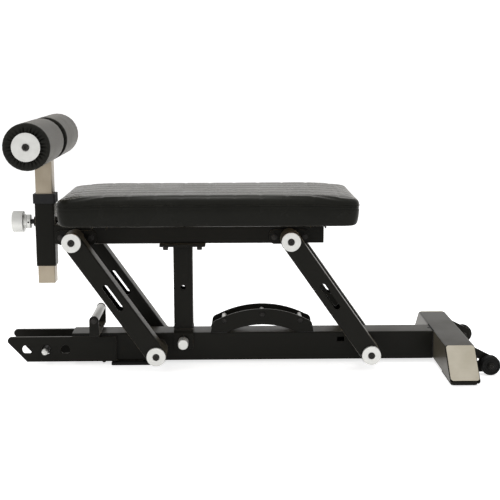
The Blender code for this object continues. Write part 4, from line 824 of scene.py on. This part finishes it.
def make_roller(place):
    """A foam roller in a sleeve of vinyl that is gathered into pleats round its end discs."""
    node = "roller_" + place
    first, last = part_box(node)
    x, middle, z = centre(node)
    half = (last.y - first.y) / 2
    rim = (last.z - first.z) / 2
    shifts = [random.uniform(-0.35, 0.35) for _ in range(PLEATS)]
    depths = [random.uniform(0.55, 1.0) for _ in range(PLEATS)]

    def fold(turn):
        """How deep the gathers are at an angle: sharp creases between round swells."""
        share = turn / (2 * math.pi) * PLEATS
        number = int(share) % PLEATS
        phase = share - int(share)
        phase = min(max(phase + shifts[number] * phase * (1 - phase), 0), 1)
        return depths[number] * (abs(math.cos(math.pi * phase)) ** 2.2) + 0.08 * math.sin(9 * turn)

    folds = [(t, fold(t)) for t in angles(ROLLER_SIDES)]

    def skin(sign, along, reach, dent, pull):
        """A ring of the skin. Each fold dents it along the axis and pulls it inward."""
        points = []
        for t, deep in folds:
            radius = reach - pull * deep
            y = middle + sign * (along - dent * deep)
            points.append((x + radius * math.cos(t), y, z + radius * math.sin(t)))
        return points

    inner_edge = rim - ROLLER_CORNER
    stations = [(half - 1.4 * MM, 13.6 * MM, 0, 0)]
    for k in range(9):
        t = k / 8
        reach = HEM + (inner_edge - HEM) * t
        stations.append((half - 1.5 * MM * (1 - t), reach, 7.0 * MM * (1 - 0.6 * t), 0))
    for k in range(1, 8):
        turn = math.pi / 2 * k / 7
        along = half - ROLLER_CORNER + ROLLER_CORNER * math.cos(turn)
        reach = inner_edge + ROLLER_CORNER * math.sin(turn)
        stations.append((along, reach, 2.0 * MM * (1 - k / 8), 1.2 * MM * (1 - k / 9)))
    for k in range(1, 6):
        pull = 0.25 * MM * (1 - k / 5) + 0.02 * MM
        stations.append((half - ROLLER_CORNER - k * 5 * MM, rim, 0, pull))
    rings = [skin(1, *station) for station in stations]
    rings += [skin(-1, *station) for station in stations[::-1]]
    piece = loft(f"roller_cover_{place}", rings, ROLLER_VINYL, node, node, closed=True, keep_flat=False)


# The pad

PAD_CORNER = 34 * MM
PAD_SHOULDER = 17 * MM
PAD_BOTTOM_ROUND = 9 * MM
PAD_TAPER = 4.5 * MM  # how far each side draws in at the bottom
PAD_WAIST = 28 * MM  # height at which most of the taper is gone
PAD_SWELL_OUT = 1.5 * MM  # the cover beyond the foam, before the smoothing draws it in
CROWN = 2 * MM
END_FALL = 4 * MM  # how much lower the top is at both ends
END_REACH = 130 * MM
VOXEL = 4 * MM
SWELL = 3 * MM
CLOTH_FRAMES = 20
CLOTH = {
    "use_pressure": True,
    "uniform_pressure_force": 4.0,
    "quality": 5,
    "mass": 0.3,
    "tension_stiffness": 25,
    "compression_stiffness": 25,
    "shear_stiffness": 15,
    "bending_stiffness": 2.0,
}

# Seams: how deep and wide each is, the second one under the first
SEAM_Z = PAD_HIGH.z - 22 * MM
SEAM_DEPTH, SEAM_WIDTH = 2.4 * MM, 2.4 * MM
STITCH_DROP = 7 * MM
STITCH_DEPTH, STITCH_WIDTH = 1.5 * MM, 2.2 * MM
WELT_RADIUS = 1.6 * MM
WELT_DEPTH = 0.2 * MM  # its middle inside the pad's outline
WELT_STEP = 12 * MM
WELT_SIDES = 10

# Quilting of the top panel, and the puckers along its edge
RIB_PITCH, RIB_DEPTH, RIB_WIDTH = 50 * MM, 0.7 * MM, 6 * MM
CROSS_PITCH, CROSS_DEPTH, CROSS_WIDTH = 66 * MM, 0.8 * MM, 4.5 * MM
PUCKER_DEPTH, PUCKER_WIDTH = 0.8 * MM, 12 * MM


def pad_outline(inset, at):
    """The pad's plan with round corners."""
    half_x = (PAD_HIGH.x - PAD_LOW.x) / 2 - inset + PAD_SWELL_OUT
    half_y = (PAD_HIGH.y - PAD_LOW.y) / 2 - inset + PAD_SWELL_OUT
    corner = max(PAD_CORNER - inset, 6 * MM)
    return rounded_ring("Z", at, (PAD_MIDDLE.x, PAD_MIDDLE.y), half_x, half_y, corner, 8)


def pad_blank():
    """The pad before it swells: a round lower edge, tapered sides, a round shoulder and a crowned top."""
    bottom, top = PAD_LOW.z, PAD_HIGH.z
    quarter = [math.pi / 2 * k / 6 for k in range(7)]
    rings = []
    for turn in quarter:
        inset = PAD_TAPER + PAD_BOTTOM_ROUND * (1 - math.sin(turn))
        rings.append(pad_outline(inset, bottom + PAD_BOTTOM_ROUND * (1 - math.cos(turn))))
    rings.append(pad_outline(PAD_TAPER * 0.4, bottom + PAD_WAIST))
    for turn in quarter:
        rise = PAD_SHOULDER * (1 - math.sin(turn))
        rings.append(pad_outline(PAD_SHOULDER * (1 - math.cos(turn)), top - CROWN - rise))
    for k in range(1, 6):
        rings.append(pad_outline(PAD_SHOULDER + 20 * MM * k, top - CROWN * (1 - k / 5) ** 2))
    return new_piece("pad_cover", skin_over(rings))


def points_of(mesh):
    points = np.empty(len(mesh.vertices) * 3)
    mesh.vertices.foreach_get("co", points)
    return points.reshape(-1, 3)


def set_points(mesh, points):
    mesh.vertices.foreach_set("co", points.ravel())
    mesh.update()


def apply_modifiers(piece):
    graph = bpy.context.evaluated_depsgraph_get()
    mesh = bpy.data.meshes.new_from_object(piece.evaluated_get(graph))
    piece.modifiers.clear()
    piece.data = mesh


def held(points):
    """The points that the swelling leaves alone: bottom, seam and corners."""
    end = PAD_HIGH.x - PAD_MIDDLE.x - np.abs(points[:, 0] - PAD_MIDDLE.x)
    flank = PAD_HIGH.y - np.abs(points[:, 1])
    corner = np.maximum(end, flank) < PAD_CORNER
    height = points[:, 2]
    return (height < PAD_LOW.z + 4 * MM) | (np.abs(height - SEAM_Z) < 3 * MM) | corner


def inflate(piece, cap):
    """Swells a closed skin with a cloth simulation. No point moves further than the cap."""
    rest = points_of(piece.data)
    group = piece.vertex_groups.new(name="held")
    group.add([int(i) for i in np.flatnonzero(held(rest))], 1.0, "REPLACE")
    cloth = piece.modifiers.new("cloth", "CLOTH")
    for name, value in CLOTH.items():
        setattr(cloth.settings, name, value)
    cloth.settings.vertex_group_mass = "held"
    cloth.settings.effector_weights.gravity = 0
    cloth.point_cache.frame_start = 1
    cloth.point_cache.frame_end = CLOTH_FRAMES
    scene = bpy.context.scene
    for number in range(1, CLOTH_FRAMES + 1):
        scene.frame_set(number)
    graph = bpy.context.evaluated_depsgraph_get()
    moved = points_of(piece.evaluated_get(graph).to_mesh())
    piece.modifiers.clear()
    scene.frame_set(1)
    step = moved - rest
    length = np.linalg.norm(step, axis=1, keepdims=True)
    step *= np.minimum(1, cap / np.maximum(length, 1e-9))
    set_points(piece.data, rest + step)


def smooth_step(value):
    value = np.clip(value, 0, 1)
    return value * value * (3 - 2 * value)


def groove(distance, width):
    """A soft dip with its middle at distance 0."""
    return np.exp(-((distance / width) ** 2))


def wrap(value, pitch):
    """The distance to the nearest of a row of lines."""
    return (value + pitch / 2) % pitch - pitch / 2


def sew_pad(points):
    """Presses the seams, the quilting and small puckers into the cover, and drops its ends."""
    x, y, z = points.T
    along = x - PAD_MIDDLE.x
    end_gap = PAD_HALF.x - np.abs(along)
    side_gap = PAD_HALF.y - np.abs(y)
    edge = np.minimum(end_gap, side_gap)
    top = smooth_step((edge - 6 * MM) / (14 * MM))
    top *= smooth_step((z - PAD_HIGH.z + 15 * MM) / (9 * MM))

    # The wall's seams. Each point is pressed in along the nearer of the two directions
    wall = (edge < 14 * MM) & (z > PAD_LOW.z + 3 * MM) & (z < PAD_HIGH.z - 4 * MM)
    near_end = end_gap < side_gap
    outward = np.zeros_like(points)
    outward[:, 0] = np.where(near_end, np.sign(along), 0)
    outward[:, 1] = np.where(near_end, 0, np.sign(y))
    run = np.where(near_end, y, along)
    waver = SEAM_Z + 0.8 * MM * np.sin(run * 2 * math.pi / CROSS_PITCH)
    press = SEAM_DEPTH * groove(z - waver, SEAM_WIDTH)
    press += STITCH_DEPTH * groove(z - waver + STITCH_DROP, STITCH_WIDTH)
    pucker = groove(wrap(run, CROSS_PITCH), PUCKER_WIDTH)
    press += PUCKER_DEPTH * pucker * groove(z - PAD_HIGH.z + PAD_SHOULDER, 9 * MM)
    points = points - outward * (press * wall)[:, None]

    # The top panel's quilting, and the fall at the ends
    ribs = RIB_DEPTH * groove(wrap(y, RIB_PITCH), RIB_WIDTH)
    cross = CROSS_DEPTH * groove(wrap(along, CROSS_PITCH), CROSS_WIDTH)
    points[:, 2] -= top * (ribs + cross)
    fall = END_FALL * (1 - smooth_step(end_gap / END_REACH))
    points[:, 2] -= fall * smooth_step((z - PAD_LOW.z) / PAD_HALF.z / 2)
    return points


def make_welt():
    """A thin welt that lies in the seam, all the way round."""
    corners = [Vector(p) for p in pad_outline(WELT_DEPTH, SEAM_Z)]
    path = []
    for first, second in zip(corners, corners[1:] + corners[:1]):
        steps = max(1, round((second - first).length / WELT_STEP))
        path += [first.lerp(second, k / steps) for k in range(steps)]
    points = []
    for k, point in enumerate(path):
        forward = (path[(k + 1) % len(path)] - path[k - 1]).normalized()
        outward = Vector((forward.y, -forward.x, 0))
        for t in angles(WELT_SIDES):
            arm = outward * math.cos(t) + Vector((0, 0, math.sin(t)))
            points.append(tuple(point + WELT_RADIUS * arm))
    rings = sew_pad(np.array(points)).reshape(len(path), WELT_SIDES, 3).tolist()
    loft("pad_welt", rings, VINYL, "seat", closed=True, keep_flat=False)


def make_pad():
    """The cushion in its cover: a smooth blank, swelled, sewn and given its welt."""
    blank = pad_blank()
    remesh = blank.modifiers.new("remesh", "REMESH")
    remesh.mode = "VOXEL"
    remesh.voxel_size = VOXEL
    even = blank.modifiers.new("even", "SMOOTH")
    even.factor = 0.5
    even.iterations = 20
    apply_modifiers(blank)
    inflate(blank, SWELL)
    subdivision = blank.modifiers.new("subdivision", "SUBSURF")
    subdivision.levels = 1
    subdivision.render_levels = 1
    finish = blank.modifiers.new("finish", "SMOOTH")
    finish.factor = 0.5
    finish.iterations = 12
    apply_modifiers(blank)
    points = sew_pad(points_of(blank.data))
    points[:, 2] = np.maximum(points[:, 2], PAD_LOW.z + 0.1 * MM)
    set_points(blank.data, points)
    blank.data.shade_smooth()
    blank.data.materials.clear()
    blank.data.materials.append(VINYL)
    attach(blank, "seat")
    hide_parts("pad_cushion")
    make_welt()


# Stage, lamps and camera

FLOOR_GLOW = 0.74
BACKDROP_GLOW = 0.70
AMBIENT = 0.42
WHITE = (1, 1, 1, 1)
PALE = (0.86, 0.86, 0.86, 1)  # the floor and backdrop as the lamps light them

# Name, place, aim, width, height and power of each softbox
LAMPS = (
    ("overhead_softbox", (0.0, 0.4, 2.6), (0, 0, 0.2), 2.6, 1.8, 42),
    ("left_softbox", (-2.4, -1.6, 1.6), (0, 0, 0.3), 1.4, 1.4, 16),
    ("right_softbox", (2.4, -1.2, 1.4), (0, 0, 0.3), 1.2, 1.2, 9),
)

# The photograph's view: place in metres, angles in degrees, focal length in pixels of its side
CAMERA_PLACE = (-0.0552, -2.8134, 0.7900)
CAMERA_YAW = 1.175
CAMERA_PITCH = 9.882
CAMERA_ROLL = -0.119
FOCAL_PIXELS = 1073.07
IMAGE_SIDE = 500
SENSOR = 36.0


def make_stage():
    """A white floor and a white wall behind, lit from within where the camera or a reflection looks."""
    reach, front, back, height = 9.0, -2.0, 5.0, 7.0
    floor = [(-reach, front, 0), (reach, front, 0), (reach, back, 0), (-reach, back, 0)]
    wall = [(-reach, back, 0), (reach, back, 0), (reach, back, height), (-reach, back, height)]
    for name, corners, glow in (("floor", floor, FLOOR_GLOW), ("backdrop", wall, BACKDROP_GLOW)):
        mesh = bpy.data.meshes.new(name)
        mesh.from_pydata(corners, [], [(0, 1, 2, 3)])
        sheet = bpy.data.objects.new(name, mesh)
        sheet.location.z = -0.2 * MM
        bpy.context.collection.objects.link(sheet)
        mesh.materials.append(make_white(name, glow))


def make_white(name, strength):
    material = bpy.data.materials.new("white_" + name)
    material.use_nodes = True
    tree = material.node_tree
    shader = tree.nodes["Principled BSDF"]
    fill(shader, {"Base Color": PALE, "Roughness": 0.9, "Specular IOR Level": 0.0})
    glow = tree.nodes.new("ShaderNodeEmission")
    fill(glow, {"Color": WHITE, "Strength": strength})
    total = tree.nodes.new("ShaderNodeAddShader")
    tree.links.new(shader.outputs[0], total.inputs[0])
    tree.links.new(glow.outputs[0], total.inputs[1])
    choose(tree, shader, total, "Material Output")
    return material


def choose(tree, plain, bright, output):
    """The bright shader for rays from the camera, a reflection or glass, and the plain one for the rest."""
    path = tree.nodes.new("ShaderNodeLightPath")
    ray = path.outputs["Is Camera Ray"]
    for name in ("Is Glossy Ray", "Is Transmission Ray"):
        either = tree.nodes.new("ShaderNodeMath")
        either.operation = "MAXIMUM"
        tree.links.new(ray, either.inputs[0])
        tree.links.new(path.outputs[name], either.inputs[1])
        ray = either.outputs[0]
    pick = tree.nodes.new("ShaderNodeMixShader")
    for socket, source in enumerate((ray, plain.outputs[0], bright.outputs[0])):
        tree.links.new(source, pick.inputs[socket])
    tree.links.new(pick.outputs[0], tree.nodes[output].inputs["Surface"])


def make_world():
    """White where the camera, a reflection or glass looks, and a grey room for the light on the object."""
    world = bpy.data.worlds.new("studio")
    bpy.context.scene.world = world
    world.use_nodes = True
    tree = world.node_tree
    room = tree.nodes["Background"]
    white = tree.nodes.new("ShaderNodeBackground")
    for shader, strength in ((room, AMBIENT), (white, 1.0)):
        fill(shader, {"Color": WHITE, "Strength": strength})
    choose(tree, room, white, "World Output")


def make_lamps():
    for name, place, aim, width, height, energy in LAMPS:
        lamp = bpy.data.lights.new(name, "AREA")
        lamp.shape = "RECTANGLE"
        lamp.size = width
        lamp.size_y = height
        lamp.energy = energy
        holder = bpy.data.objects.new(name, lamp)
        holder.location = place
        holder.rotation_mode = "QUATERNION"
        holder.rotation_quaternion = (Vector(aim) - Vector(place)).to_track_quat("-Z", "Y")
        holder.visible_glossy = False
        bpy.context.collection.objects.link(holder)


def make_camera():
    yaw, pitch, roll = (math.radians(v) for v in (CAMERA_YAW, CAMERA_PITCH, CAMERA_ROLL))
    flat = math.cos(pitch)
    forward = Vector((math.sin(yaw) * flat, math.cos(yaw) * flat, -math.sin(pitch)))
    level = Vector((math.cos(yaw), -math.sin(yaw), 0))
    upright = level.cross(forward)
    right = level * math.cos(roll) + upright * math.sin(roll)
    up = upright * math.cos(roll) - level * math.sin(roll)
    lens = bpy.data.cameras.new("camera")
    lens.sensor_width = SENSOR
    lens.lens = FOCAL_PIXELS / IMAGE_SIDE * SENSOR
    holder = bpy.data.objects.new("camera", lens)
    turn = Matrix((right, up, -forward)).transposed().to_4x4()
    holder.matrix_world = Matrix.Translation(CAMERA_PLACE) @ turn
    bpy.context.collection.objects.link(holder)
    bpy.context.scene.camera = holder


def main():
    make_camera()
    make_world()
    make_lamps()
    make_stage()
    finish_rail()
    finish_feet()
    finish_dock()
    finish_dock_pin()
    finish_arc()
    finish_handle()
    finish_wheels()
    finish_pivot_tubes()
    finish_links()
    finish_seat_frame()
    finish_post()
    finish_sleeve()
    finish_pad_supports()
    finish_front_pin()
    finish_saddle_pin()
    finish_springs()
    finish_roller_post()
    for place, _ in SIDES:
        make_roller(place)
    make_pad()
    bpy.context.scene.view_settings.view_transform = "Standard"


main()
